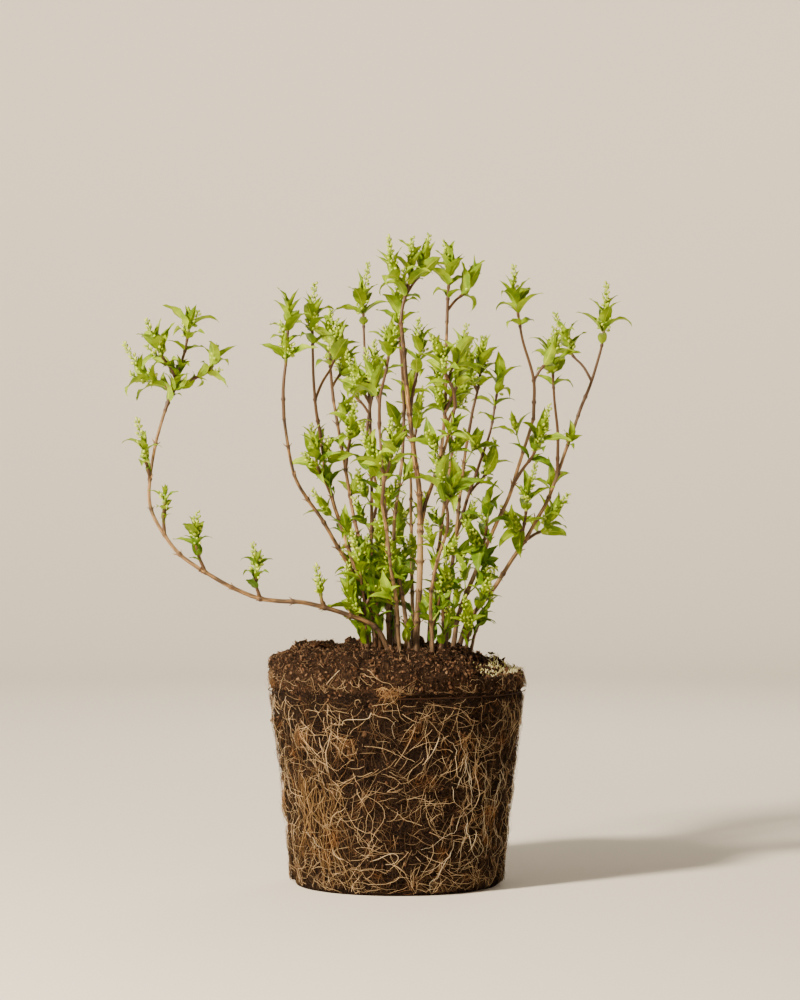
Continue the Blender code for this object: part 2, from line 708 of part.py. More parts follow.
def dress(made, colour, roughness):
    """Give an object its own material."""
    made.data.materials.clear()
    made.data.materials.append(material(made.name, colour, roughness))


def main():
    """Build the whole plant."""
    for old in list(bpy.data.objects):
        bpy.data.objects.remove(old)
    plant = bpy.data.collections.new("slender_deutzia")
    bpy.context.scene.collection.children.link(plant)

    dress(build_ball(plant), SOIL_BROWN, 0.95)

    limbs = limb_routes()
    space = Space()
    for name, route in limbs.items():
        dress(build_limb(name, route, plant), BARK_TAN, 0.75)
        space.take(name, tube(route.points, route.radius_at_points(), LIMB_SIDES))

    shoots = {mass.name: shoot_routes(mass, limbs) for mass in MASSES}
    for name, routes in shoots.items():
        for route in routes:
            space.take(name, tube(route.points, route.radius_at_points(), SHOOT_SIDES))

    forms = (unit_ball(4, 2), unit_ball(SPIKE_SIDES, SPIKE_RINGS))
    for mass in MASSES:
        solids = grow_mass(mass, shoots[mass.name], space, forms)
        made = fuse(mass.name, solids, plant)
        dress(made, LEAF_GREEN, 0.55)


main()
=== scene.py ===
"""Looks of a slender deutzia that stands on its bare root ball.

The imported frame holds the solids' places. Canes, shoots, leaves and bud spikes grow here
by the seeded rule that shaped the solids, carried on to finer shoots, leaves and buds. The
root ball gets its relief, its felt of roots and its crumbs of soil. Metres, +Z up, with the
origin in the middle of the ball's flat underside, +X to the right and +Y to the back.
"""

import logging
import math
import random
from dataclasses import dataclass, field
from enum import Enum

import bmesh
import bpy
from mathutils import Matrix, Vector, noise
from mathutils.bvhtree import BVHTree
from mathutils.geometry import interpolate_bezier


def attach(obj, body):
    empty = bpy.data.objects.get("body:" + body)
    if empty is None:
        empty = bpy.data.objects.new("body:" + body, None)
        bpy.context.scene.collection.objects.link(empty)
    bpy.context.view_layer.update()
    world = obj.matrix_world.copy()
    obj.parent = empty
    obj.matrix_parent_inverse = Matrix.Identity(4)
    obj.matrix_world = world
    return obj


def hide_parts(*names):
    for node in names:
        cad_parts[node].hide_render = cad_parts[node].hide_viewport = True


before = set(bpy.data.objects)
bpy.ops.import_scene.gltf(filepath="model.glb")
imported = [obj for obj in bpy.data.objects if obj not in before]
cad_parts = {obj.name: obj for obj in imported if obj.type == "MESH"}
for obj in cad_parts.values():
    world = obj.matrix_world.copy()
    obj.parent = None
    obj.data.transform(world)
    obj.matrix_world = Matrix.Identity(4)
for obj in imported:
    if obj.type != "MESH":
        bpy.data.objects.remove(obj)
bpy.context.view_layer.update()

LOG = logging.getLogger("deutzia")
Place = tuple[float, ...]
Solid = tuple[list[Vector], list[tuple[int, ...]]]

MM = 0.001
UP = Vector((0, 0, 1))

# Air between neighbouring solids
GAP = 0.0003

# Root ball, moulded by a round pot of about four litres
BALL_FOOT_R = 0.0765
BALL_FOOT_BEVEL = 0.003
BALL_SEAM_R = 0.0925
BALL_SEAM_Z = 0.141
BALL_SEAM_RIDGE = 0.0010
BALL_SEAM_STEP = 0.003
BALL_RIM_Z = 0.161
BALL_SHOULDER = 0.006
BALL_LUMP = 0.0016
BALL_LUMP_SIZE = 0.022

# Soil: level round the canes, rising to the left and falling to the right outside them
SOIL_Z = 0.170
SOIL_LEVEL_R = 0.060
SOIL_CROWN = 0.003
SOIL_TILT = 0.055
SOIL_LUMP = 0.0035
SOIL_LUMP_SHIFT = Vector((7, 0, 0))

# Limbs
LIMB_STEPS = 3
LIMB_UPRIGHT = 0.003
LIMB_SIDES = 6
CUT_STEPS = 160

# Where a tube's first corner lies, and which way a shoot's first leaf looks
TUBE_SIDE = Vector((1, 0.13, 0.07))
LEAF_SIDE = Vector((0, 1, 0.2))

# Share of the carrier's heading with which a bough or a side shoot leaves it
BOUGH_LEAVE = 0.5
SIDE_LEAVE = 0.6

# Shoots of the foliage masses
SHOOT_R = 0.00095
SHOOT_TIP_R = 0.0006
SHOOT_STEPS = 3
SHOOT_SIDES = 3
SIDE_SHOOT_R = 0.0008
SIDE_SHOOT_ROOT_SHARE = 0.4
SIDE_SHOOT_RISE = 0.8
SIDE_SHOOT_LOWEST = 0.2
SIDE_SHOOT_HIGHEST = 0.7
SIDE_SHOOT_SEARCH = 0.05

# Leaves of the solids: lance-shaped, in crossed pairs, closest together at the tip
LEAF_LENGTH = 0.0265
LEAF_WIDTH_SHARE = 0.36
LEAF_WIDEST = 0.40
LEAF_THICK_SHARE = 0.030
LEAF_ARCH = 0.085
LEAF_FOLD = 0.10
LEAF_DROOP = 0.16
LEAF_ROOT_OUT = 0.00015
PAIR_DROPS = (0.0034, 0.0075, 0.0135, 0.0220, 0.0340, 0.0480)
PAIR_SIZES = (0.74, 1.00, 0.98, 0.80, 0.66, 0.58)
PAIR_SPREADS = (34.0, 52.0, 64.0, 72.0, 76.0, 78.0)
PAIR_QUARTER_TURN = math.radians(90)
PAIR_TURN_JITTER = math.radians(16)
LEAF_SPREAD_JITTER = math.radians(9)
LEAF_SIZE_RANGE = (0.84, 1.14)
LOWEST_PAIR = 0.85

# Spikes of round flower buds
SPIKE_SHARE = 0.80
SPIKE_LENGTHS = (0.013, 0.021)
SPIKE_R = 0.0027
SPIKE_SIDES = 5
SPIKE_RINGS = 4
SPIKE_LUMP = 0.16
SPIKE_TAPER = 0.3
SPIKE_LEAN = 0.25
SPIKE_ROOT = 0.0010

# How a leaf that touches another piece is moved before it is given up: turn, size
SECOND_TRIES = ((0.0, 1.0), (0.6, 1.0), (-0.6, 1.0), (0.0, 0.72), (0.8, 0.72), (-0.8, 0.72))
CLEARANCE = 0.0005

# Small irregular bends that the whole plant shares, and the seed that keeps them the same each run
WANDER = 0.8 * MM
WANDER_SIZE = 26 * MM
WANDER_SEED = 4

# Steps with which a smooth line is found
FINE_STEPS = 10

# How long this year's green part of a shoot is
SHOOT_GREEN = 15 * MM

# Leaves as they show: rows from stalk to tip, columns across, and the outline's powers
LEAF_ROWS = (0.0, 0.06, 0.13, 0.22, 0.33, 0.45, 0.57, 0.69, 0.80, 0.90)
LEAF_COLUMNS = (-1.0, -0.5, 0.0, 0.5, 1.0)
LEAF_BASE_POWER = 0.60
LEAF_TIP_POWER = 1.38
LEAF_STALK_R = 0.022
LEAF_WAVE_STEP = 2.1
LEAF_SHOWN = 0.96

GOLDEN_TURN = math.radians(137.5)

# Sockets of Blender's Mix node
FACTOR, MIX_A, MIX_B, MIXED = 0, 6, 7, 2


@dataclass(frozen=True)
class Limb:
    """A tapering cane or bough: where it starts, bends and ends, and its two diameters."""

    name: str
    bends: tuple
    tip: Place
    diameters: Place
    foot: Place = ()
    on: str = ""
    at: float = 1.0
    clear_of: str = ""


@dataclass(frozen=True)
class Mass:
    """A mass of foliage: the ends of its shoots, the main one first, and what carries it."""

    name: str
    tips: tuple
    on: str = ""
    at: float = 1.0
    foot: Place = ()
    pairs: int = 4
    leaf: float = 1.0


# Canes stand in the soil at their foot (x, y). Boughs leave a limb at a share of its length.
LIMBS = (
    Limb("arching_cane_run", ((-0.054, -0.038, 0.203), (-0.100, -0.042, 0.2095)),
         (-0.141, -0.046, 0.230), (0.0036, 0.0029), foot=(-0.007, -0.026)),
    Limb("arching_cane_rise", ((-0.174, -0.045, 0.269), (-0.176, -0.041, 0.302)),
         (-0.166, -0.036, 0.344), (0.0029, 0.0022), on="arching_cane_run"),
    Limb("left_cane", ((-0.045, -0.015, 0.249), (-0.073, -0.027, 0.296)), (-0.081, -0.034, 0.338),
         (0.0034, 0.0022), foot=(-0.013, 0.002)),
    Limb("forked_cane", ((-0.039, 0.010, 0.253), (-0.050, 0.006, 0.289)), (-0.056, -0.004, 0.325),
         (0.0036, 0.0024), foot=(-0.016, 0.014)),
    Limb("rear_left_cane", ((-0.032, 0.064, 0.264),), (-0.048, 0.086, 0.353), (0.0034, 0.0022),
         foot=(-0.013, 0.030)),
    Limb("middle_cane", ((-0.019, 0.044, 0.257),), (-0.019, 0.060, 0.316), (0.0032, 0.0022),
         foot=(-0.021, 0.022)),
    Limb("slim_cane", ((-0.007, -0.014, 0.251),), (-0.013, -0.026, 0.331), (0.0032, 0.0020),
         foot=(-0.006, -0.006)),
    Limb("inner_cane", ((-0.002, -0.004, 0.251),), (0.004, 0.008, 0.308), (0.0034, 0.0022),
         foot=(0.008, -0.012)),
    Limb("main_stem", ((0.016, -0.038, 0.216),), (0.017, -0.040, 0.263), (0.0056, 0.0052),
         foot=(0.014, -0.036)),
    Limb("main_stem_left", ((0.010, -0.054, 0.330),), (0.003, -0.066, 0.405), (0.0042, 0.0029),
         on="main_stem"),
    Limb("main_stem_right", ((0.032, -0.026, 0.315),), (0.036, -0.006, 0.409), (0.0030, 0.0021),
         on="main_stem", at=0.94, clear_of="main_stem_left"),
    Limb("main_stem_front", ((0.033, -0.054, 0.313),), (0.041, -0.070, 0.346), (0.0024, 0.0019),
         on="main_stem_right", at=0.16),
    Limb("cut_stub", (), (0.033, -0.020, 0.209), (0.0038, 0.0034), foot=(0.034, -0.017)),
    Limb("front_cane", ((0.025, -0.058, 0.217),), (0.035, -0.074, 0.258), (0.0030, 0.0020),
         foot=(0.025, -0.050)),
    Limb("rear_right_cane", ((0.042, 0.046, 0.240),), (0.053, 0.078, 0.324), (0.0034, 0.0022),
         foot=(0.036, 0.020)),
    Limb("right_cane", ((0.056, -0.004, 0.224), (0.080, -0.016, 0.280)), (0.098, -0.028, 0.338),
         (0.0036, 0.0023), foot=(0.041, 0.000)),
    Limb("far_right_cane", ((0.072, 0.020, 0.215), (0.108, 0.026, 0.273)), (0.134, 0.034, 0.341),
         (0.0036, 0.0023), foot=(0.046, 0.014)),
    Limb("back_left_cane", ((-0.007, 0.080, 0.245),), (-0.022, 0.112, 0.317), (0.0034, 0.0021),
         foot=(0.000, 0.036)),
    Limb("back_right_cane", ((0.032, 0.084, 0.245),), (0.042, 0.116, 0.313), (0.0034, 0.0021),
         foot=(0.024, 0.036)),
    Limb("back_cane", ((0.011, 0.096, 0.241),), (0.010, 0.128, 0.297), (0.0032, 0.0021),
         foot=(0.012, 0.042)),
    Limb("leaning_cane", ((-0.005, -0.080, 0.239),), (-0.010, -0.098, 0.278), (0.0030, 0.0020),
         foot=(0.002, -0.044)),
)

MASSES = (
    Mass("arch_crown", ((-0.149, -0.028, 0.408), (-0.172, -0.044, 0.393), (-0.130, -0.022, 0.381),
         (-0.181, -0.036, 0.371)), on="arching_cane_rise", pairs=5),
    Mass("arch_side_tuft", ((-0.180, -0.056, 0.318),), on="arching_cane_rise", at=0.60, leaf=0.85),
    Mass("arch_bend_tuft", ((-0.165, -0.052, 0.286),), on="arching_cane_rise", at=0.27, pairs=3,
         leaf=0.60),
    Mass("arch_spray_left", ((-0.144, -0.050, 0.259),), on="arching_cane_run", at=0.97, pairs=3,
         leaf=0.75),
    Mass("arch_spray_middle", ((-0.101, -0.044, 0.236),), on="arching_cane_run", at=0.69, pairs=3,
         leaf=0.70),
    Mass("arch_spray_right", ((-0.055, -0.040, 0.219),), on="arching_cane_run", at=0.39, pairs=3,
         leaf=0.55),
    Mass("left_crown", ((-0.077, -0.032, 0.413), (-0.080, -0.040, 0.386)), on="left_cane"),
    Mass("forked_crown", ((-0.061, -0.018, 0.413), (-0.044, 0.014, 0.393)), on="forked_cane"),
    Mass("forked_side_tuft", ((-0.060, -0.012, 0.315),), on="forked_cane", at=0.72),
    Mass("rear_left_crown", ((-0.051, 0.084, 0.401), (-0.039, 0.096, 0.383)), on="rear_left_cane"),
    Mass("rear_left_tuft", ((-0.034, 0.060, 0.335),), on="rear_left_cane", at=0.72),
    Mass("middle_crown", ((-0.026, 0.080, 0.431), (-0.029, 0.066, 0.367)), on="middle_cane"),
    Mass("middle_tuft", ((-0.010, 0.032, 0.305),), on="middle_cane", at=0.58),
    Mass("slim_crown", ((-0.005, -0.034, 0.395), (-0.017, -0.020, 0.364)), on="slim_cane"),
    Mass("inner_crown", ((0.001, 0.010, 0.420), (0.010, 0.020, 0.359)), on="inner_cane"),
    Mass("main_left_crown", ((0.010, -0.058, 0.444), (-0.001, -0.066, 0.442), (0.019, -0.050, 0.449)),
         on="main_stem_left"),
    Mass("main_left_tuft", ((0.017, -0.048, 0.391),), on="main_stem_left", at=0.55),
    Mass("summit_crown", ((0.038, -0.004, 0.447), (0.053, 0.006, 0.438)), on="main_stem_right"),
    Mass("main_right_tuft", ((0.046, -0.022, 0.373),), on="main_stem_right", at=0.52),
    Mass("main_front_crown", ((0.031, -0.084, 0.381), (0.045, -0.070, 0.385)),
         on="main_stem_front"),
    Mass("front_crown", ((0.031, -0.066, 0.298), (0.039, -0.082, 0.290)), on="front_cane"),
    Mass("rear_right_crown", ((0.064, 0.094, 0.385), (0.054, 0.084, 0.375)),
         on="rear_right_cane"),
    Mass("rear_right_twig", ((0.077, 0.098, 0.370), (0.070, 0.084, 0.307)), on="rear_right_cane",
         at=0.52, pairs=5),
    Mass("right_crown", ((0.084, -0.040, 0.425), (0.111, -0.030, 0.387)), on="right_cane"),
    Mass("right_side_tuft", ((0.102, -0.042, 0.326),), on="right_cane", at=0.72),
    Mass("right_low_tuft", ((0.066, -0.022, 0.272), (0.058, -0.020, 0.248)), on="right_cane",
         at=0.36),
    Mass("far_right_crown", ((0.154, 0.034, 0.415), (0.126, 0.046, 0.397)), on="far_right_cane"),
    Mass("far_right_tuft", ((0.113, 0.002, 0.383),), on="far_right_cane", at=0.76),
    Mass("far_right_panicle", ((0.095, 0.018, 0.283), (0.085, 0.008, 0.259)), on="far_right_cane",
         at=0.44),
    Mass("far_right_low_tuft", ((0.112, 0.038, 0.263),), on="far_right_cane", at=0.48, pairs=3),
    Mass("base_left_shoots", ((-0.027, -0.026, 0.234), (-0.033, -0.022, 0.208),
         (-0.009, -0.018, 0.224)), foot=(-0.021, -0.014), pairs=5),
    Mass("base_back_shoots", ((-0.012, 0.020, 0.244), (0.000, 0.004, 0.213)),
         foot=(-0.004, 0.012), pairs=5),
    Mass("base_middle_shoots", ((0.035, -0.018, 0.222), (0.027, -0.010, 0.199)),
         foot=(0.024, -0.006), leaf=0.85),
    Mass("base_right_shoots", ((0.063, -0.014, 0.212), (0.051, -0.022, 0.194)),
         foot=(0.050, -0.010), leaf=0.85),
    Mass("back_left_crown", ((-0.017, 0.128, 0.377), (-0.035, 0.122, 0.364)),
         on="back_left_cane"),
    Mass("back_right_crown", ((0.033, 0.124, 0.366), (0.050, 0.132, 0.359)),
         on="back_right_cane"),
    Mass("back_crown", ((0.016, 0.144, 0.344), (0.001, 0.140, 0.336)), on="back_cane"),
    Mass("leaning_crown", ((-0.003, -0.112, 0.318), (-0.017, -0.110, 0.313)), on="leaning_cane"),
)


class Tone(Enum):
    """The greens that leaves are dealt out in, spray by spray. The lighter greens are partly young leaves
    and partly painted light at the top of the clump; the deeper ones are partly older leaves and partly
    painted shade low down and inside the clump.
    """

    YOUNG = "young"
    MID = "mid"
    DEEP = "deep"
    COOL = "cool"


def linear(colour: str) -> tuple[float, float, float, float]:
    """Turn an sRGB hex colour into Blender's linear values.

    Args:
        colour: six hex digits after a hash sign.

    Returns:
        Red, green, blue and full alpha.
    """
    parts = [int(colour[n:n + 2], 16) / 255 for n in (1, 3, 5)]
    return (*(p / 12.92 if p <= 0.04045 else ((p + 0.055) / 1.055) ** 2.4 for p in parts), 1.0)


def add(tree: bpy.types.NodeTree, kind: str, sockets: dict | None = None, stops: tuple = (),
        **settings: object) -> bpy.types.Node:
    """Add a node with its settings and links.

    Args:
        tree: the node tree that gets the node.
        kind: Blender's name for the kind of node.
        sockets: input by name or number, each with a value or the socket that feeds it.
        stops: place and hex colour of each stop, for a node with a colour ramp.
        settings: the node's own properties.

    Returns:
        The new node.
    """
    node = tree.nodes.new(kind)
    for name, value in settings.items():
        setattr(node, name, value)
    for name, value in (sockets or {}).items():
        if isinstance(value, bpy.types.NodeSocket):
            tree.links.new(value, node.inputs[name])
        else:
            node.inputs[name].default_value = value
    if stops:
        ramp = node.color_ramp
        while len(ramp.elements) < len(stops):
            ramp.elements.new(1.0)
        for element, (place, colour) in zip(ramp.elements, stops):
            element.position = place
            element.color = linear(colour)
    return node


def blank_finish(name: str) -> tuple[bpy.types.Material, bpy.types.NodeTree, bpy.types.Node]:
    """Make a material that holds only its Principled shader and output.

    Args:
        name: what the finish is called.

    Returns:
        The material, its node tree and its shader.
    """
    made = bpy.data.materials.new(name)
    made.use_nodes = True
    tree = made.node_tree
    return made, tree, tree.nodes["Principled BSDF"]


@dataclass(frozen=True)
class BarkFinish:
    """Young deutzia bark, tan and dry. It splits lengthwise into fibres, so the eye sees fine
    streaks along each cane, darker bands at the nodes, and canes that darken towards the soil.
    """

    name: str = "Fibrous_tan_bark"
    shade: str = "#1E1006"
    body: str = "#573B1D"
    light: str = "#B48A54"
    knot: str = "#2E1A0A"
    low_dark: str = "#2C1B12"
    bleached: str = "#B29468"
    fibre_width: float = 0.6 * MM
    fibre_length: float = 11 * MM
    patch: float = 14 * MM
    roughness: float = 0.72

    def make(self) -> bpy.types.Material:
        """Build the material from the straightened tube's own coordinates."""
        made, tree, shader = blank_finish(self.name)
        straight = add(tree, "ShaderNodeAttribute", attribute_name="straight").outputs["Vector"]
        drawn = add(tree, "ShaderNodeMapping", {
            "Vector": straight,
            "Scale": (1 / self.fibre_width, 1 / self.fibre_width, 1 / self.fibre_length)})
        fibres = add(tree, "ShaderNodeTexNoise", {
            "Vector": drawn.outputs[0], "Scale": 1.0, "Detail": 3.0, "Roughness": 0.6})
        streaks = add(tree, "ShaderNodeValToRGB", {"Fac": fibres.outputs["Fac"]}, (
            (0.34, self.shade), (0.48, self.body), (0.62, self.light)))
        place = add(tree, "ShaderNodeTexCoord").outputs["Object"]
        patches = add(tree, "ShaderNodeTexNoise", {"Vector": place, "Scale": 1 / self.patch})
        depth = add(tree, "ShaderNodeMapRange", {
            "Value": patches.outputs["Fac"], "From Min": 0.46, "From Max": 0.62,
            "To Min": 0.0, "To Max": 0.75})
        patched = add(tree, "ShaderNodeMix", {
            FACTOR: depth.outputs[0], MIX_A: streaks.outputs[0], MIX_B: linear(self.shade)},
            data_type="RGBA")
        bleach = add(tree, "ShaderNodeAttribute", attribute_name="tone").outputs["Fac"]
        aged = add(tree, "ShaderNodeMix", {
            FACTOR: bleach, MIX_A: patched.outputs[MIXED], MIX_B: linear(self.bleached)},
            data_type="RGBA")
        knot = add(tree, "ShaderNodeAttribute", attribute_name="knot").outputs["Fac"]
        knotted = add(tree, "ShaderNodeMix", {
            FACTOR: knot, MIX_A: aged.outputs[MIXED], MIX_B: linear(self.knot)},
            data_type="RGBA")
        # Canes darken towards the soil
        height = add(tree, "ShaderNodeSeparateXYZ", {"Vector": place}).outputs["Z"]
        low = add(tree, "ShaderNodeMapRange", {
            "Value": height, "From Min": SOIL_Z, "From Max": SOIL_Z + 45 * MM,
            "To Min": 0.75, "To Max": 0.0})
        darkened_low = add(tree, "ShaderNodeMix", {
            FACTOR: low.outputs[0], MIX_A: knotted.outputs[MIXED], MIX_B: linear(self.low_dark)},
            data_type="RGBA")
        tree.links.new(darkened_low.outputs[MIXED], shader.inputs["Base Color"])
        shader.inputs["Roughness"].default_value = self.roughness
        bump = add(tree, "ShaderNodeBump", {
            "Height": fibres.outputs["Fac"], "Strength": 0.6, "Distance": 0.3 * MM})
        tree.links.new(bump.outputs[0], shader.inputs["Normal"])
        return made


@dataclass(frozen=True)
class ShootFinish:
    """This year's shoots: smooth and soft green at the tip, ripening to thin red-brown bark."""

    name: str = "Green_to_brown_shoot"
    ripe: str = "#50351A"
    half_ripe: str = "#6E5626"
    green: str = "#7C9C24"
    knot: str = "#2E1A0A"
    streak: float = 0.5 * MM
    streak_length: float = 5 * MM
    roughness: float = 0.5

    def make(self) -> bpy.types.Material:
        """Build the material from how young the shoot is at each place."""
        made, tree, shader = blank_finish(self.name)
        youth = add(tree, "ShaderNodeAttribute", attribute_name="tone").outputs["Fac"]
        straight = add(tree, "ShaderNodeAttribute", attribute_name="straight").outputs["Vector"]
        drawn = add(tree, "ShaderNodeMapping", {
            "Vector": straight,
            "Scale": (1 / self.streak, 1 / self.streak, 1 / self.streak_length)})
        streaks = add(tree, "ShaderNodeTexNoise", {"Vector": drawn.outputs[0], "Scale": 1.0})
        shifted = add(tree, "ShaderNodeMath", {
            0: streaks.outputs["Fac"], 1: 0.3, 2: youth}, operation="MULTIPLY_ADD")
        colours = add(tree, "ShaderNodeValToRGB", {"Fac": shifted.outputs[0]}, (
            (0.30, self.ripe), (0.60, self.half_ripe), (0.90, self.green)))
        knot = add(tree, "ShaderNodeAttribute", attribute_name="knot").outputs["Fac"]
        knotted = add(tree, "ShaderNodeMix", {
            FACTOR: knot, MIX_A: colours.outputs[0], MIX_B: linear(self.knot)},
            data_type="RGBA")
        tree.links.new(knotted.outputs[MIXED], shader.inputs["Base Color"])
        shader.inputs["Roughness"].default_value = self.roughness
        bump = add(tree, "ShaderNodeBump", {
            "Height": streaks.outputs["Fac"], "Strength": 0.3, "Distance": 0.2 * MM})
        tree.links.new(bump.outputs[0], shader.inputs["Normal"])
        return made


@dataclass(frozen=True)
class LeafFinish:
    """A thin spring leaf with a satin skin: a pale midrib, side veins that sink a little, and
    a green that drifts slightly from spray to spray.
    """

    name: str
    body: str
    light: str
    rib: str
    drift: float = 9 * MM
    veins: float = 7.0
    vein_slant: float = 3.2
    rib_width: float = 0.020
    roughness: float = 0.45
    sheen_level: float = 0.22
    glow: float = 0.10

    def make(self) -> bpy.types.Material:
        """Build the material from the leaf's own map: u across it, v from stalk to tip."""
        made, tree, shader = blank_finish(self.name)
        place = add(tree, "ShaderNodeTexCoord").outputs["Object"]
        drift = add(tree, "ShaderNodeTexNoise", {"Vector": place, "Scale": 1 / self.drift})
        green = add(tree, "ShaderNodeValToRGB", {"Fac": drift.outputs["Fac"]}, (
            (0.32, self.body), (0.68, self.light)))
        leaf_map = add(tree, "ShaderNodeUVMap", uv_map="leaf_map").outputs["UV"]
        parts = add(tree, "ShaderNodeSeparateXYZ", {"Vector": leaf_map})
        centred = add(tree, "ShaderNodeMath", {0: parts.outputs["X"], 1: 0.5}, operation="SUBTRACT")
        off_rib = add(tree, "ShaderNodeMath", {0: centred.outputs[0]}, operation="ABSOLUTE")
        on_rib = add(tree, "ShaderNodeMapRange", {
            "Value": off_rib.outputs[0], "From Min": self.rib_width, "From Max": self.rib_width * 2,
            "To Min": 1.0, "To Max": 0.0})
        slanted = add(tree, "ShaderNodeMath", {
            0: off_rib.outputs[0], 1: -self.vein_slant, 2: parts.outputs["Y"]},
            operation="MULTIPLY_ADD")
        cycles = add(tree, "ShaderNodeMath", {0: slanted.outputs[0], 1: self.veins * math.tau},
                     operation="MULTIPLY")
        waves = add(tree, "ShaderNodeMath", {0: cycles.outputs[0]}, operation="SINE")
        on_vein = add(tree, "ShaderNodeMapRange", {
            "Value": waves.outputs[0], "From Min": 0.75, "From Max": 1.0,
            "To Min": 0.0, "To Max": 0.35})
        veined = add(tree, "ShaderNodeMath", {0: on_rib.outputs[0], 1: on_vein.outputs[0]},
                     operation="MAXIMUM")
        coloured = add(tree, "ShaderNodeMix", {
            FACTOR: veined.outputs[0], MIX_A: green.outputs[0], MIX_B: linear(self.rib)},
            data_type="RGBA")
        tree.links.new(coloured.outputs[MIXED], shader.inputs["Base Color"])
        shader.inputs["Roughness"].default_value = self.roughness
        shader.inputs["Specular IOR Level"].default_value = self.sheen_level
        bump = add(tree, "ShaderNodeBump", {
            "Height": veined.outputs[0], "Strength": 0.5, "Distance": 0.25 * MM}, invert=True)
        tree.links.new(bump.outputs[0], shader.inputs["Normal"])
        lit_through = add(tree, "ShaderNodeBsdfTranslucent", {"Color": coloured.outputs[MIXED]})
        thin = add(tree, "ShaderNodeMixShader", {
            0: self.glow, 1: shader.outputs[0], 2: lit_through.outputs[0]})
        tree.links.new(thin.outputs[0], tree.nodes["Material Output"].inputs["Surface"])
        return made


@dataclass(frozen=True)
class BudFinish:
    """Closed flower buds: matt and yellow-green, with a paler, creamy face here and there."""

    name: str = "Closed_flower_bud"
    body: str = "#7E9E1C"
    pale: str = "#C0D048"
    speckle: float = 2.4 * MM
    roughness: float = 0.5

    def make(self) -> bpy.types.Material:
        """Build the material."""
        made, tree, shader = blank_finish(self.name)
        place = add(tree, "ShaderNodeTexCoord").outputs["Object"]
        speckle = add(tree, "ShaderNodeTexNoise", {"Vector": place, "Scale": 1 / self.speckle})
        colours = add(tree, "ShaderNodeValToRGB", {"Fac": speckle.outputs["Fac"]}, (
            (0.35, self.body), (0.62, self.pale)))
        tree.links.new(colours.outputs[0], shader.inputs["Base Color"])
        shader.inputs["Roughness"].default_value = self.roughness
        return made


@dataclass(frozen=True)
class SoilFinish:
    """Moist peat and bark compost: brown on its crumbs, with pale specks of grit and torn fibre,
    and nearly black in its pores, which is painted shade.
    """

    name: str = "Moist_peat_soil"
    # Painted shade: the darkest noise of the soil is nearly black, as the shade in its pores
    pore_shade: str = "#030201"
    wet: str = "#140C08"
    crumb: str = "#4A372A"
    speck: str = "#A48E74"
    crumb_size: float = 2.2 * MM
    grain: float = 0.9 * MM
    roughness: float = 0.95
    sheen_level: float = 0.08
    fibre: str = ""
    web: float = 2.4 * MM

    def make(self) -> bpy.types.Material:
        """Build the material. With a fibre colour, a fine web of hair roots lies over the soil."""
        made, tree, shader = blank_finish(self.name)
        place = add(tree, "ShaderNodeTexCoord").outputs["Object"]
        crumbs = add(tree, "ShaderNodeTexNoise", {
            "Vector": place, "Scale": 1 / self.crumb_size, "Detail": 5.0, "Roughness": 0.68})
        tone = add(tree, "ShaderNodeAttribute", attribute_name="tone").outputs["Fac"]
        own = add(tree, "ShaderNodeMath", {
            0: tone, 1: 0.24, 2: crumbs.outputs["Fac"]}, operation="MULTIPLY_ADD")
        # The darkest stop paints the shade in the soil's pores
        colours = add(tree, "ShaderNodeValToRGB", {"Fac": own.outputs[0]}, (
            (0.40, self.pore_shade), (0.50, self.wet), (0.63, self.crumb), (0.92, self.speck)))
        grains = add(tree, "ShaderNodeTexVoronoi", {"Vector": place, "Scale": 1 / self.grain})
        shaded = add(tree, "ShaderNodeMix", {
            FACTOR: 0.35, MIX_A: colours.outputs[0], MIX_B: grains.outputs["Distance"]},
            data_type="RGBA", blend_type="MULTIPLY")
        surface, height = shaded.outputs[MIXED], crumbs.outputs["Fac"]
        if self.fibre:
            swirl = add(tree, "ShaderNodeTexNoise", {
                "Vector": place, "Scale": 0.4 / self.web, "Detail": 2.0})
            bent = add(tree, "ShaderNodeMix", {
                FACTOR: 0.006, MIX_A: place, MIX_B: swirl.outputs["Color"]},
                data_type="RGBA", blend_type="ADD")
            cells = add(tree, "ShaderNodeTexVoronoi", {
                "Vector": bent.outputs[MIXED], "Scale": 1 / self.web},
                feature="DISTANCE_TO_EDGE")
            hair = add(tree, "ShaderNodeMapRange", {
                "Value": cells.outputs["Distance"], "From Min": 0.03, "From Max": 0.09,
                "To Min": 0.75, "To Max": 0.0})
            webbed = add(tree, "ShaderNodeMix", {
                FACTOR: hair.outputs[0], MIX_A: surface, MIX_B: linear(self.fibre)},
                data_type="RGBA")
            surface = webbed.outputs[MIXED]
        tree.links.new(surface, shader.inputs["Base Color"])
        shader.inputs["Roughness"].default_value = self.roughness
        shader.inputs["Specular IOR Level"].default_value = self.sheen_level
        bump = add(tree, "ShaderNodeBump", {"Height": height, "Strength": 0.9, "Distance": 1.2 * MM})
        tree.links.new(bump.outputs[0], shader.inputs["Normal"])
        return made


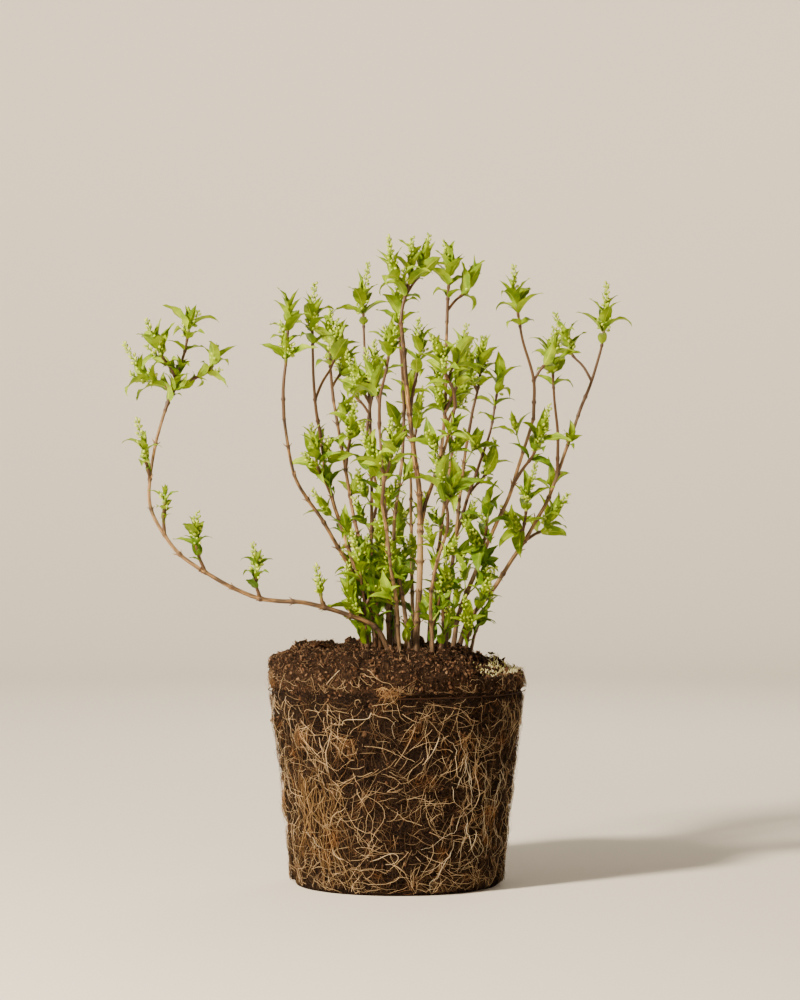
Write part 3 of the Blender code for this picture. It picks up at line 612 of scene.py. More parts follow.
@dataclass(frozen=True)
class RootFinish:
    """Living fibrous roots: dry, tan, each strand a little lighter or more orange than its
    neighbour, with soil dust in streaks along it.
    """

    name: str
    dark: str
    body: str
    light: str
    dust: str = "#33231A"
    dust_width: float = 0.5 * MM
    dust_length: float = 5 * MM
    rust: str = "#94602F"
    rust_patch: float = 19 * MM
    roughness: float = 0.75
    sheen_level: float = 0.15

    def make(self) -> bpy.types.Material:
        """Build the material from each strand's own tone."""
        made, tree, shader = blank_finish(self.name)
        tone = add(tree, "ShaderNodeAttribute", attribute_name="tone").outputs["Fac"]
        shades = add(tree, "ShaderNodeValToRGB", {"Fac": tone}, (
            (0.1, self.dark), (0.5, self.body), (0.9, self.light)))
        place = add(tree, "ShaderNodeTexCoord").outputs["Object"]
        patches = add(tree, "ShaderNodeTexNoise", {"Vector": place, "Scale": 1 / self.rust_patch})
        rusty = add(tree, "ShaderNodeMapRange", {
            "Value": patches.outputs["Fac"], "From Min": 0.58, "From Max": 0.72,
            "To Min": 0.0, "To Max": 0.5})
        colours = add(tree, "ShaderNodeMix", {
            FACTOR: rusty.outputs[0], MIX_A: shades.outputs[0], MIX_B: linear(self.rust)},
            data_type="RGBA")
        straight = add(tree, "ShaderNodeAttribute", attribute_name="straight").outputs["Vector"]
        drawn = add(tree, "ShaderNodeMapping", {
            "Vector": straight,
            "Scale": (1 / self.dust_width, 1 / self.dust_width, 1 / self.dust_length)})
        dust = add(tree, "ShaderNodeTexNoise", {"Vector": drawn.outputs[0], "Scale": 1.0})
        dusty = add(tree, "ShaderNodeMapRange", {
            "Value": dust.outputs["Fac"], "From Min": 0.5, "From Max": 0.75,
            "To Min": 0.0, "To Max": 0.6})
        dusted = add(tree, "ShaderNodeMix", {
            FACTOR: dusty.outputs[0], MIX_A: colours.outputs[MIXED], MIX_B: linear(self.dust)},
            data_type="RGBA")
        tree.links.new(dusted.outputs[MIXED], shader.inputs["Base Color"])
        shader.inputs["Roughness"].default_value = self.roughness
        shader.inputs["Specular IOR Level"].default_value = self.sheen_level
        return made


@dataclass(frozen=True)
class PaperFinish:
    """The studio's pale seamless paper: matt, with a barely visible tooth."""

    name: str = "Pale_backdrop_paper"
    body: str = "#F1EADE"
    tooth: float = 4 * MM
    roughness: float = 0.9

    def make(self) -> bpy.types.Material:
        """Build the material."""
        made, tree, shader = blank_finish(self.name)
        place = add(tree, "ShaderNodeTexCoord").outputs["Object"]
        tooth = add(tree, "ShaderNodeTexNoise", {"Vector": place, "Scale": 1 / self.tooth})
        shader.inputs["Base Color"].default_value = linear(self.body)
        shader.inputs["Roughness"].default_value = self.roughness
        bump = add(tree, "ShaderNodeBump", {
            "Height": tooth.outputs["Fac"], "Strength": 0.05, "Distance": 0.2 * MM})
        tree.links.new(bump.outputs[0], shader.inputs["Normal"])
        return made


def new_tree(name: str, inputs: tuple[tuple[str, str], ...]) -> tuple:
    """Start a Geometry Nodes tree.

    Args:
        name: the tree's name.
        inputs: each input's name and kind of socket, after the geometry.

    Returns:
        The tree and its input node.
    """
    tree = bpy.data.node_groups.new(name, "GeometryNodeTree")
    tree.interface.new_socket("Geometry", in_out="INPUT", socket_type="NodeSocketGeometry")
    for label, kind in inputs:
        tree.interface.new_socket(label, in_out="INPUT", socket_type="NodeSocket" + kind)
    tree.interface.new_socket("Geometry", in_out="OUTPUT", socket_type="NodeSocketGeometry")
    return tree, add(tree, "NodeGroupInput")


def end_tree(tree: bpy.types.NodeTree, shape: bpy.types.NodeSocket, start: bpy.types.Node) -> None:
    """End a tree in real meshes with smooth faces and the chosen finish.

    Args:
        tree: the tree to end.
        shape: the socket that gives the finished shape.
        start: the tree's input node, which has a Finish.
    """
    real = add(tree, "GeometryNodeRealizeInstances", {"Geometry": shape})
    smooth = add(tree, "GeometryNodeSetShadeSmooth", {0: real.outputs[0]})
    dressed = add(tree, "GeometryNodeSetMaterial", {
        "Geometry": smooth.outputs[0], "Material": start.outputs["Finish"]})
    add(tree, "NodeGroupOutput", {"Geometry": dressed.outputs[0]})


def tube_tree() -> bpy.types.NodeTree:
    """Tubes along paths: each point gives its own thickness, and the skin may be uneven.

    Returns:
        A tree with the inputs Sides, Relief, Relief Grain and Finish.
    """
    tree, start = new_tree("Tubes_along_paths", (
        ("Sides", "Int"), ("Relief", "Float"), ("Relief Grain", "Vector"), ("Finish", "Material")))
    thick = add(tree, "GeometryNodeInputNamedAttribute", {"Name": "thick"}).outputs[0]
    along = add(tree, "GeometryNodeInputNamedAttribute", {"Name": "along"}).outputs[0]
    path = add(tree, "GeometryNodeMeshToCurve", {"Mesh": start.outputs["Geometry"]})
    ring = add(tree, "GeometryNodeCurvePrimitiveCircle", {
        "Resolution": start.outputs["Sides"], "Radius": 1.0})
    around = add(tree, "GeometryNodeInputPosition")
    named_ring = add(tree, "GeometryNodeStoreNamedAttribute", data_type="FLOAT_VECTOR")
    for socket, value in (("Geometry", ring.outputs["Curve"]), ("Value", around.outputs[0])):
        tree.links.new(value, named_ring.inputs[socket])
    named_ring.inputs["Name"].default_value = "ring"
    tube = add(tree, "GeometryNodeCurveToMesh", {
        "Curve": path.outputs[0], "Profile Curve": named_ring.outputs[0], "Scale": thick,
        "Fill Caps": True})
    ring_place = add(tree, "GeometryNodeInputNamedAttribute", {"Name": "ring"},
                     data_type="FLOAT_VECTOR").outputs[0]
    round_place = add(tree, "ShaderNodeVectorMath", {0: ring_place}, operation="SCALE")
    tree.links.new(thick, round_place.inputs["Scale"])
    run = add(tree, "ShaderNodeCombineXYZ", {"Z": along})
    unrolled = add(tree, "ShaderNodeVectorMath", {0: round_place.outputs[0], 1: run.outputs[0]},
                   operation="ADD")
    stored = add(tree, "GeometryNodeStoreNamedAttribute", data_type="FLOAT_VECTOR")
    for socket, value in (("Geometry", tube.outputs[0]), ("Value", unrolled.outputs[0])):
        tree.links.new(value, stored.inputs[socket])
    stored.inputs["Name"].default_value = "straight"
    straight = add(tree, "GeometryNodeInputNamedAttribute", {"Name": "straight"},
                   data_type="FLOAT_VECTOR").outputs[0]
    grained = add(tree, "ShaderNodeVectorMath", {0: straight, 1: start.outputs["Relief Grain"]},
                  operation="DIVIDE")
    bumps = add(tree, "ShaderNodeTexNoise", {"Vector": grained.outputs[0], "Scale": 1.0})
    level = add(tree, "ShaderNodeMath", {0: bumps.outputs["Fac"], 1: 0.5}, operation="SUBTRACT")
    height = add(tree, "ShaderNodeMath", {0: level.outputs[0], 1: start.outputs["Relief"]},
                 operation="MULTIPLY")
    facing = add(tree, "GeometryNodeInputNormal").outputs[0]
    lift = add(tree, "ShaderNodeVectorMath", {0: facing}, operation="SCALE")
    tree.links.new(height.outputs[0], lift.inputs["Scale"])
    uneven = add(tree, "GeometryNodeSetPosition", {
        "Geometry": stored.outputs[0], "Offset": lift.outputs[0]})
    end_tree(tree, uneven.outputs[0], start)
    return tree


def placing_tree() -> bpy.types.NodeTree:
    """Forms set on points, each with its own direction, size and choice of form.

    Returns:
        A tree with the inputs Forms and Finish.
    """
    tree, start = new_tree("Forms_on_points", (("Forms", "Collection"), ("Finish", "Material")))
    forms = add(tree, "GeometryNodeCollectionInfo", {
        "Collection": start.outputs["Forms"], "Separate Children": True, "Reset Children": True})
    way, upper, size = (add(tree, "GeometryNodeInputNamedAttribute", {"Name": name},
                            data_type="FLOAT_VECTOR").outputs[0] for name in ("way", "upper", "size"))
    form = add(tree, "GeometryNodeInputNamedAttribute", {"Name": "form"}, data_type="INT").outputs[0]
    turned = add(tree, "FunctionNodeAxesToRotation", {"Primary Axis": way, "Secondary Axis": upper},
                 primary_axis="X", secondary_axis="Z")
    placed = add(tree, "GeometryNodeInstanceOnPoints", {
        "Points": start.outputs["Geometry"], "Instance": forms.outputs[0], "Pick Instance": True,
        "Instance Index": form, "Rotation": turned.outputs[0], "Scale": size})
    end_tree(tree, placed.outputs[0], start)
    return tree


def scatter_tree() -> bpy.types.NodeTree:
    """Forms strewn over a skin, thickest where the skin's strewn value is highest.

    Returns:
        A tree with the inputs Forms, Density, Smallest, Largest, Seed and Finish.
    """
    tree, start = new_tree("Forms_strewn_on_skin", (
        ("Forms", "Collection"), ("Density", "Float"), ("Smallest", "Float"),
        ("Largest", "Float"), ("Seed", "Int"), ("Finish", "Material")))
    forms = add(tree, "GeometryNodeCollectionInfo", {
        "Collection": start.outputs["Forms"], "Separate Children": True, "Reset Children": True})
    share = add(tree, "GeometryNodeInputNamedAttribute", {"Name": "strewn"}).outputs[0]
    density = add(tree, "ShaderNodeMath", {0: share, 1: start.outputs["Density"]},
                  operation="MULTIPLY")
    points = add(tree, "GeometryNodeDistributePointsOnFaces", {
        "Mesh": start.outputs["Geometry"], "Density": density.outputs[0],
        "Seed": start.outputs["Seed"]})
    turn = add(tree, "FunctionNodeRandomValue", {
        0: (0, 0, 0), 1: (math.tau, math.tau, math.tau), "Seed": start.outputs["Seed"]},
        data_type="FLOAT_VECTOR").outputs[0]
    draw = add(tree, "FunctionNodeRandomValue", {
        2: 0.0, 3: 1.0, "Seed": start.outputs["Seed"]}, data_type="FLOAT").outputs[1]
    other_seed = add(tree, "ShaderNodeMath", {0: start.outputs["Seed"], 1: 17.0})
    shade = add(tree, "FunctionNodeRandomValue", {
        2: 0.0, 3: 1.0, "Seed": other_seed.outputs[0]}, data_type="FLOAT").outputs[1]
    toned = add(tree, "GeometryNodeStoreNamedAttribute", {
        "Geometry": points.outputs["Points"], "Name": "tone", "Value": shade},
        data_type="FLOAT", domain="POINT")
    mostly_small = add(tree, "ShaderNodeMath", {0: draw, 1: 2.5}, operation="POWER")
    size = add(tree, "ShaderNodeMapRange", {
        "Value": mostly_small.outputs[0], "To Min": start.outputs["Smallest"],
        "To Max": start.outputs["Largest"]})
    pick = add(tree, "FunctionNodeRandomValue", {
        4: 0, 5: 99, "Seed": start.outputs["Seed"]}, data_type="INT").outputs[2]
    placed = add(tree, "GeometryNodeInstanceOnPoints", {
        "Points": toned.outputs[0], "Instance": forms.outputs[0], "Pick Instance": True,
        "Instance Index": pick, "Rotation": turn, "Scale": size.outputs[0]})
    end_tree(tree, placed.outputs[0], start)
    return tree


def grow(name: str, start: bpy.types.Mesh, tree: bpy.types.NodeTree,
         inputs: dict[str, object]) -> bpy.types.Object:
    """Run a Geometry Nodes tree on a mesh and keep the plain mesh that comes out.

    Args:
        name: the piece's name.
        start: the mesh that goes in.
        tree: the tree to run.
        inputs: the value of each named input.

    Returns:
        The finished piece, at the origin.
    """
    made = bpy.data.objects.new(name, start)
    bpy.context.scene.collection.objects.link(made)
    modifier = made.modifiers.new("grow", "NODES")
    modifier.node_group = tree
    for item in tree.interface.items_tree:
        if item.in_out == "INPUT" and item.name in inputs:
            modifier[item.identifier] = inputs[item.name]
    bpy.context.view_layer.update()
    seen = made.evaluated_get(bpy.context.evaluated_depsgraph_get())
    mesh = bpy.data.meshes.new_from_object(seen)
    made.modifiers.remove(modifier)
    made.data = mesh
    mesh.name = name
    return made


def form_collection(name: str, meshes: list[bpy.types.Mesh]) -> bpy.types.Collection:
    """Put the forms of a repeated shape into a collection outside the scene.

    Args:
        name: the collection's name, and the start of each form's name.
        meshes: the forms, in order.

    Returns:
        The collection.
    """
    forms = bpy.data.collections.new(name)
    for n, mesh in enumerate(meshes):
        forms.objects.link(bpy.data.objects.new(f"{name}_{n:02d}", mesh))
    return forms


def finish_piece(made: bpy.types.Object, nodes: list[str]) -> None:
    """Hand a finished piece to the frame and report it.

    Args:
        made: the piece.
        nodes: the CAD nodes that the piece stands for.
    """
    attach(made, "root")
    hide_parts(*nodes)
    made.data.calc_loop_triangles()
    LOG.info("%s: %d triangles", made.name, len(made.data.loop_triangles))


@dataclass
class Paths:
    """Paths gathered for one piece of tubes, with what each point carries."""

    places: list[Vector] = field(default_factory=list)
    legs: list[tuple[int, int]] = field(default_factory=list)
    carried: dict[str, list[float]] = field(
        default_factory=lambda: {"thick": [], "along": [], "tone": [], "knot": []})

    def lay(self, points: list[Vector], radii: list[float], tones: list[float],
            knots: list[float] | None = None) -> None:
        """Add one path.

        Args:
            points: the places it goes through.
            radii: its radius at each.
            tones: its tone at each, from 0 to 1.
            knots: how much of a node each place is, from 0 to 1.
        """
        first = len(self.places)
        run = first * 7.3 * MM
        for n, point in enumerate(points):
            run += (point - points[max(n - 1, 0)]).length
            self.carried["along"].append(run)
        self.places += points
        self.legs += [(first + n, first + n + 1) for n in range(len(points) - 1)]
        self.carried["thick"] += radii
        self.carried["tone"] += tones
        self.carried["knot"] += knots or [0.0] * len(points)

    def mesh(self, name: str) -> bpy.types.Mesh:
        """All paths as a mesh of edges that carries its values."""
        made = bpy.data.meshes.new(name)
        made.from_pydata(self.places, self.legs, [])
        for label, values in self.carried.items():
            made.attributes.new(label, "FLOAT", "POINT").data.foreach_set("value", values)
        return made


@dataclass
class Places:
    """Places gathered for one piece of repeated forms."""

    roots: list[Vector] = field(default_factory=list)
    vectors: dict[str, list[float]] = field(
        default_factory=lambda: {"way": [], "upper": [], "size": []})
    forms: list[int] = field(default_factory=list)

    def put(self, root: Vector, way: Vector, upper: Vector, size: tuple, form: int = 0) -> None:
        """Add one form.

        Args:
            root: where it starts.
            way: where its length points.
            upper: where its upper side points.
            size: its length, width and height, as shares of the form's.
            form: which form it is.
        """
        self.roots.append(root)
        for name, vector in (("way", way), ("upper", upper), ("size", size)):
            self.vectors[name].extend(vector)
        self.forms.append(form)

    def mesh(self, name: str) -> bpy.types.Mesh:
        """All places as a mesh of points that carries its values."""
        made = bpy.data.meshes.new(name)
        made.from_pydata(self.roots, [], [])
        for label, values in self.vectors.items():
            made.attributes.new(label, "FLOAT_VECTOR", "POINT").data.foreach_set("vector", values)
        made.attributes.new("form", "INT", "POINT").data.foreach_set("value", self.forms)
        return made


class Route:
    """A smooth way through its places, with a radius that tapers evenly along it."""

    def __init__(self, places: list, radii: Place, start: Vector | None = None,
                 end: Vector | None = None, steps: int = LIMB_STEPS) -> None:
        """Lay the way.

        Args:
            places: where it goes through.
            radii: the radius at its foot and at its tip.
            start: its heading at the foot, if not towards the next place.
            end: its heading at the tip.
            steps: how many straight legs lie between two places.
        """
        places = [Vector(place) for place in places]
        ahead = [b - a for a, b in zip(places, places[1:])]
        headings = [start or ahead[0]]
        headings += [a + b for a, b in zip(ahead, ahead[1:])]
        headings += [end or ahead[-1]]
        self.points = [places[0]]
        for n, leg in enumerate(ahead):
            reach = leg.length / 3
            leave = places[n] + headings[n].normalized() * reach
            arrive = places[n + 1] - headings[n + 1].normalized() * reach
            self.points += interpolate_bezier(places[n], leave, arrive, places[n + 1], steps + 1)[1:]
        self.radii = radii
        self.root_share = 1.0

    def lengths(self) -> list[float]:
        """Distance from the foot to each point."""
        total = [0.0]
        for a, b in zip(self.points, self.points[1:]):
            total.append(total[-1] + (b - a).length)
        return total

    def at(self, share: float) -> tuple[Vector, Vector, float]:
        """Look up a share of the length.

        Args:
            share: from 0 at the foot to 1 at the tip.

        Returns:
            The point, heading and radius there.
        """
        run = self.lengths()
        wanted = max(0.0, min(1.0, share)) * run[-1]
        n = 0
        while n < len(run) - 2 and run[n + 1] < wanted:
            n += 1
        leg = self.points[n + 1] - self.points[n]
        point = self.points[n] + leg * ((wanted - run[n]) / (run[n + 1] - run[n]))
        radius = self.radii[0] + (self.radii[1] - self.radii[0]) * wanted / run[-1]
        return point, leg.normalized(), radius

    def radius_at_points(self) -> list[float]:
        """The radius at each point, slimmer at a foot that is sunk into another shoot."""
        run = self.lengths()
        radii = [self.radii[0] + (self.radii[1] - self.radii[0]) * d / run[-1] for d in run]
        return [radii[0] * self.root_share, *radii[1:]]

    def distance(self, place: Vector) -> tuple[float, float, Vector]:
        """Measure from the middle line.

        Args:
            place: where to measure from.

        Returns:
            The distance, and the route's radius and heading at the nearest point.
        """
        best = (math.inf, 0.0, UP)
        radii = self.radius_at_points()
        for n, (a, b) in enumerate(zip(self.points, self.points[1:])):
            leg = b - a
            share = max(0.0, min(1.0, (place - a).dot(leg) / leg.length_squared))
            away = (place - a - leg * share).length
            if away < best[0]:
                best = (away, radii[n], leg.normalized())
        return best

    def lift_off(self, heading: Vector) -> None:
        """Lift the foot so far along the heading that its tilted end face keeps a gap."""
        first_leg = (self.points[1] - self.points[0]).normalized()
        tilt = math.sin(first_leg.angle(heading))
        self.points[0] = self.points[0] + heading * (GAP + self.radii[0] * tilt)

    def cut_clear(self, carrier: "Route") -> None:
        """Shorten the start until its end face is a gap away from the carrier."""
        for n in range(CUT_STEPS):
            place, heading, radius = self.at(n / CUT_STEPS)
            away, carrier_radius, carrier_heading = carrier.distance(place)
            if away >= carrier_radius + GAP + radius * abs(heading.dot(carrier_heading)):
                break
        run = self.lengths()
        kept = [p for p, d in zip(self.points, run) if d > run[-1] * n / CUT_STEPS + 2 * GAP]
        self.points = [place] + kept

    def fine(self, step: float) -> list[Vector]:
        """Smooth the way and give it even, short legs.

        Args:
            step: the length of a leg.

        Returns:
            The points from foot to tip.
        """
        smooth = Route(self.points, self.radii, steps=FINE_STEPS).points
        points, left = [smooth[0]], step
        for a, b in zip(smooth, smooth[1:]):
            leg = (b - a).length
            done = 0.0
            while leg - done > left:
                done += left
                points.append(a.lerp(b, done / leg))
                left = step
            left -= leg - done
        if (smooth[-1] - points[-1]).length < step / 2:
            points.pop()
        return points + [smooth[-1]]


def tube(points: list[Vector], radii: list[float], sides: int) -> Solid:
    """Lay a closed tube along some points.

    Args:
        points: the points.
        radii: the radius at each.
        sides: how many sides the tube has.

    Returns:
        Corners and faces.
    """
    corners = []
    side = TUBE_SIDE
    for n, point in enumerate(points):
        heading = (points[min(n + 1, len(points) - 1)] - points[max(n - 1, 0)]).normalized()
        side = (side - heading * side.dot(heading)).normalized()
        other = heading.cross(side)
        for k in range(sides):
            angle = math.tau * k / sides
            corners.append(point + (side * math.cos(angle) + other * math.sin(angle)) * radii[n])
    faces = [tuple(reversed(range(sides)))]
    for ring in range(0, sides * (len(points) - 1), sides):
        for k in range(sides):
            after = (k + 1) % sides
            faces.append((ring + k, ring + after, ring + sides + after, ring + sides + k))
    faces.append(tuple(range(len(corners) - sides, len(corners))))
    return corners, faces


def unit_ball(sides: int, rings: int) -> Solid:
    """Corners and faces of a coarse round body of radius 1, in the same order each run."""
    bm = bmesh.new()
    bmesh.ops.create_uvsphere(bm, u_segments=sides, v_segments=rings, radius=1.0)
    corners = [v.co.copy() for v in bm.verts]
    faces = sorted(tuple(v.index for v in f.verts) for f in bm.faces)
    bm.free()
    return corners, faces


@dataclass(frozen=True)
class Leaf:
    """Where a leaf starts, where it and its upper side point, and how long it is."""

    root: Vector
    heading: Vector
    upper: Vector
    length: float

    def solid(self, form: Solid, extra: float = 0.0) -> Solid:
        """Draw the form out to the leaf's solid.

        Args:
            form: an eight-sided ball.
            extra: how far the solid is swollen.

        Returns:
            Corners and faces.
        """
        across = self.upper.cross(self.heading)
        half_width = self.length * LEAF_WIDTH_SHARE / 2 + extra
        half_thick = self.length * LEAF_THICK_SHARE / 2 + extra
        corners = []
        for corner in form[0]:
            share = LEAF_WIDEST if abs(corner.x) < 0.5 else (corner.x + 1) / 2
            along = self.length * share + extra * round(corner.x)
            rise = LEAF_ARCH * math.sin(math.pi * share) - LEAF_DROOP * share ** 3
            rise += LEAF_FOLD * LEAF_WIDTH_SHARE * abs(corner.y)
            corners.append(self.root + self.heading * along + across * (corner.y * half_width)
                           + self.upper * (rise * self.length + corner.z * half_thick))
        return corners, form[1]


@dataclass(frozen=True)
class Spike:
    """Where a spike of buds starts, where it points and how long it is."""

    root: Vector
    heading: Vector
    length: float

    def solid(self, form: Solid, extra: float = 0.0) -> Solid:
        """Draw the form out to the spike's solid.

        Args:
            form: a ball of SPIKE_SIDES and SPIKE_RINGS.
            extra: how far the solid is swollen.

        Returns:
            Corners and faces.
        """
        side = self.heading.orthogonal().normalized()
        across = self.heading.cross(side)
        corners = []
        for corner in form[0]:
            ring = round((corner.z + 1) * SPIKE_RINGS)
            lump = 1 + SPIKE_LUMP * (-1) ** ring
            slim = 1 - SPIKE_TAPER * (corner.z + 1) / 2
            reach = SPIKE_R * lump * slim + extra
            corners.append(self.root + self.heading * (self.length * (corner.z + 1) / 2)
                           + (side * corner.x + across * corner.y) * reach)
        return corners, form[1]


class Space:
    """The room already taken, piece by piece, and by which node."""

    def __init__(self) -> None:
        """Start with nothing taken."""
        self.pieces = []

    def take(self, owner: str, solid: Solid) -> None:
        """Note a piece that stays."""
        low, high = box_of(solid[0])
        self.pieces.append((owner, low, high, BVHTree.FromPolygons(*solid)))

    def is_free(self, owner: str, solid: Solid) -> bool:
        """Whether no piece of another node meets this solid."""
        low, high = box_of(solid[0])
        tree = None
        for other, other_low, other_high, other_tree in self.pieces:
            if other == owner or any(low[k] > other_high[k] or high[k] < other_low[k] for k in range(3)):
                continue
            tree = tree or BVHTree.FromPolygons(*solid)
            if tree.overlap(other_tree):
                return False
        return True


def box_of(corners: list[Vector]) -> tuple[Place, Place]:
    """Lowest and highest corner of the box round some places."""
    low = tuple(min(c[k] for c in corners) for k in range(3))
    high = tuple(max(c[k] for c in corners) for k in range(3))
    return low, high


def limb_routes() -> dict[str, Route]:
    """The route of each limb by name, carried ones cut clear of their carriers."""
    routes = {}
    for limb in LIMBS:
        radii = [d / 2 for d in limb.diameters]
        if limb.foot:
            foot = Vector((*limb.foot, SOIL_Z + GAP))
            upright = foot + UP * LIMB_UPRIGHT
            routes[limb.name] = Route((upright, *limb.bends, limb.tip), radii, UP)
            routes[limb.name].points.insert(0, foot)
            continue
        carrier = routes[limb.on]
        foot, heading, _ = carrier.at(limb.at)
        route = Route((foot, *limb.bends, limb.tip), radii, heading)
        if limb.at == 1.0:
            route.lift_off(heading)
        else:
            route.cut_clear(carrier)
        if limb.clear_of:
            route.cut_clear(routes[limb.clear_of])
        routes[limb.name] = route
    return routes


def shoot_routes(mass: Mass, limbs: dict[str, Route]) -> list[Route]:
    """Lay a mass's shoots, the main one from its carrier and the others from the main one.

    Args:
        mass: the mass.
        limbs: the limbs' routes.

    Returns:
        The routes, the main one first.
    """
    if mass.foot:
        foot = Vector((*mass.foot, SOIL_Z + GAP))
        main = Route((foot, mass.tips[0]), (SHOOT_R, SHOOT_TIP_R), UP, None, SHOOT_STEPS)
        main.points.insert(1, foot + UP * SHOOT_R)
    else:
        carrier = limbs[mass.on]
        foot, heading, radius = carrier.at(mass.at)
        tip = Vector(mass.tips[0])
        thick = min(SHOOT_R, radius)
        if mass.at == 1.0:
            main = Route((foot, tip), (thick, SHOOT_TIP_R), heading, UP, SHOOT_STEPS)
            main.lift_off(heading)
        else:
            leave = (tip - foot).normalized() + heading * BOUGH_LEAVE
            main = Route((foot, tip), (thick, SHOOT_TIP_R), leave, UP, SHOOT_STEPS)
            main.cut_clear(carrier)
    shoots = [main]
    for tip in mass.tips[1:]:
        tip = Vector(tip)
        start, heading, _ = main.at(side_shoot_share(main, tip))
        leave = (tip - start).normalized() + heading * SIDE_LEAVE
        side = Route((start, tip), (SIDE_SHOOT_R, SHOOT_TIP_R), leave, UP, SHOOT_STEPS)
        side.root_share = SIDE_SHOOT_ROOT_SHARE
        shoots.append(side)
    return shoots


def side_shoot_share(main: Route, tip: Vector) -> float:
    """The highest place on the main shoot from which a side shoot still rises steeply to its tip."""
    share = SIDE_SHOOT_HIGHEST
    while share > SIDE_SHOOT_LOWEST:
        way = tip - main.at(share)[0]
        if way.z >= SIDE_SHOOT_RISE * way.length:
            break
        share -= SIDE_SHOOT_SEARCH
    return share


def leaf_on(shoot: Route, drop: float, turn: float, spread: float, length: float) -> Leaf:
    """Set a leaf on a shoot.

    Args:
        shoot: the shoot.
        drop: how far below its tip the leaf leaves it.
        turn: the leaf's angle round the shoot.
        spread: its angle from the shoot's heading.
        length: its length.

    Returns:
        The leaf.
    """
    point, heading, _ = shoot.at(1 - drop / shoot.lengths()[-1])
    side = heading.cross(LEAF_SIDE).normalized()
    outward = side * math.cos(turn) + heading.cross(side) * math.sin(turn)
    way = heading * math.cos(spread) + outward * math.sin(spread)
    upper = (heading * math.sin(spread) - outward * math.cos(spread)).normalized()
    return Leaf(point + way * LEAF_ROOT_OUT, way, upper, length)


def wander(place: Vector) -> Vector:
    """Where the small irregular bends that the whole plant shares move a place."""
    return place + noise.noise_vector(place / WANDER_SIZE) * WANDER


def ball_profile() -> list[tuple[float, float]]:
    """The ball's outline from the middle of the soil down to the edge of its foot, as (r, z)."""
    outline = [(0.0, SOIL_Z), (SOIL_LEVEL_R * 0.5, SOIL_Z), (SOIL_LEVEL_R, SOIL_Z)]
    shoulder_r = BALL_SEAM_R - BALL_SHOULDER
    outline.append(((SOIL_LEVEL_R + shoulder_r) / 2, (SOIL_Z + BALL_RIM_Z) / 2 + SOIL_CROWN))
    for n in range(4):
        angle = math.radians(90 - 30 * n)
        outline.append((shoulder_r + BALL_SHOULDER * math.cos(angle),
                        BALL_RIM_Z - BALL_SHOULDER * (1 - math.sin(angle))))
    outline.append((BALL_SEAM_R + BALL_SEAM_RIDGE, BALL_SEAM_Z + BALL_SEAM_STEP))
    outline.append((BALL_SEAM_R, BALL_SEAM_Z))
    side = (BALL_SEAM_R - BALL_FOOT_R) / BALL_SEAM_Z
    outline.append((BALL_FOOT_R + side * BALL_FOOT_BEVEL, BALL_FOOT_BEVEL))
    outline.append((BALL_FOOT_R - BALL_FOOT_BEVEL, 0.0))
    return outline


def roughen_ball(place: Vector) -> Vector:
    """Where a point of the turned ball goes once the ball is lumpy and its soil uneven."""
    radius = place.xy.length
    if place.z <= 0 or radius <= SOIL_LEVEL_R + GAP:
        return place
    lump = noise.noise(place / BALL_LUMP_SIZE)
    outward = Vector((place.x, place.y, 0)) / radius
    moved = place + outward * (lump * BALL_LUMP)
    if place.z > BALL_SEAM_Z:
        height = (place.z - BALL_SEAM_Z) / (SOIL_Z - BALL_SEAM_Z)
        lift = SOIL_LUMP * noise.noise(place / BALL_LUMP_SIZE + SOIL_LUMP_SHIFT)
        lift -= SOIL_TILT * place.x
        moved.z += lift * height
    return moved


@dataclass(frozen=True)
class RootSort:
    """One sort of root strand in the felt that covers the ball."""

    name: str
    count: int
    lengths: Place
    radii: Place
    lifts: Place
    tones: Place
    finish: RootFinish
    spread: float = 0.6
    kink: float = 0.22
    turn: float = 0.6
    band: Place = (0.002, 0.140)
    starts: Place = (0.002, 0.140)
    sides: int = 3
    angles: Place = (-math.pi, math.pi)
    stray: float = 0.0
    fills_hollows: bool = False


TAN_ROOT = RootFinish("Tan_fibrous_root", "#22160D", "#62472C", "#E2C498")
SHADED_ROOT = RootFinish("Shaded_fibrous_root", "#0E0804", "#2C1D12", "#6E5236")
GOLD_ROOT = RootFinish("Golden_root_strand", "#523A22", "#8E6C42", "#CDA974")
PALE_ROOT = RootFinish("Young_white_root", "#8E7656", "#BEA684", "#E0D0B2", rust="#A88660")
FAN_ROOT = RootFinish("Rusty_root_fan", "#4E321C", "#8A6440", "#C8A472")
RIM_ROOT = RootFinish("Dark_rim_root", "#1C1009", "#2C1A0E", "#4A301C", rust="#2C1A0E")
FIBRE = RootFinish("Torn_peat_fibre", "#120B07", "#4A3323", "#967A5C", rust="#6E4A2C")

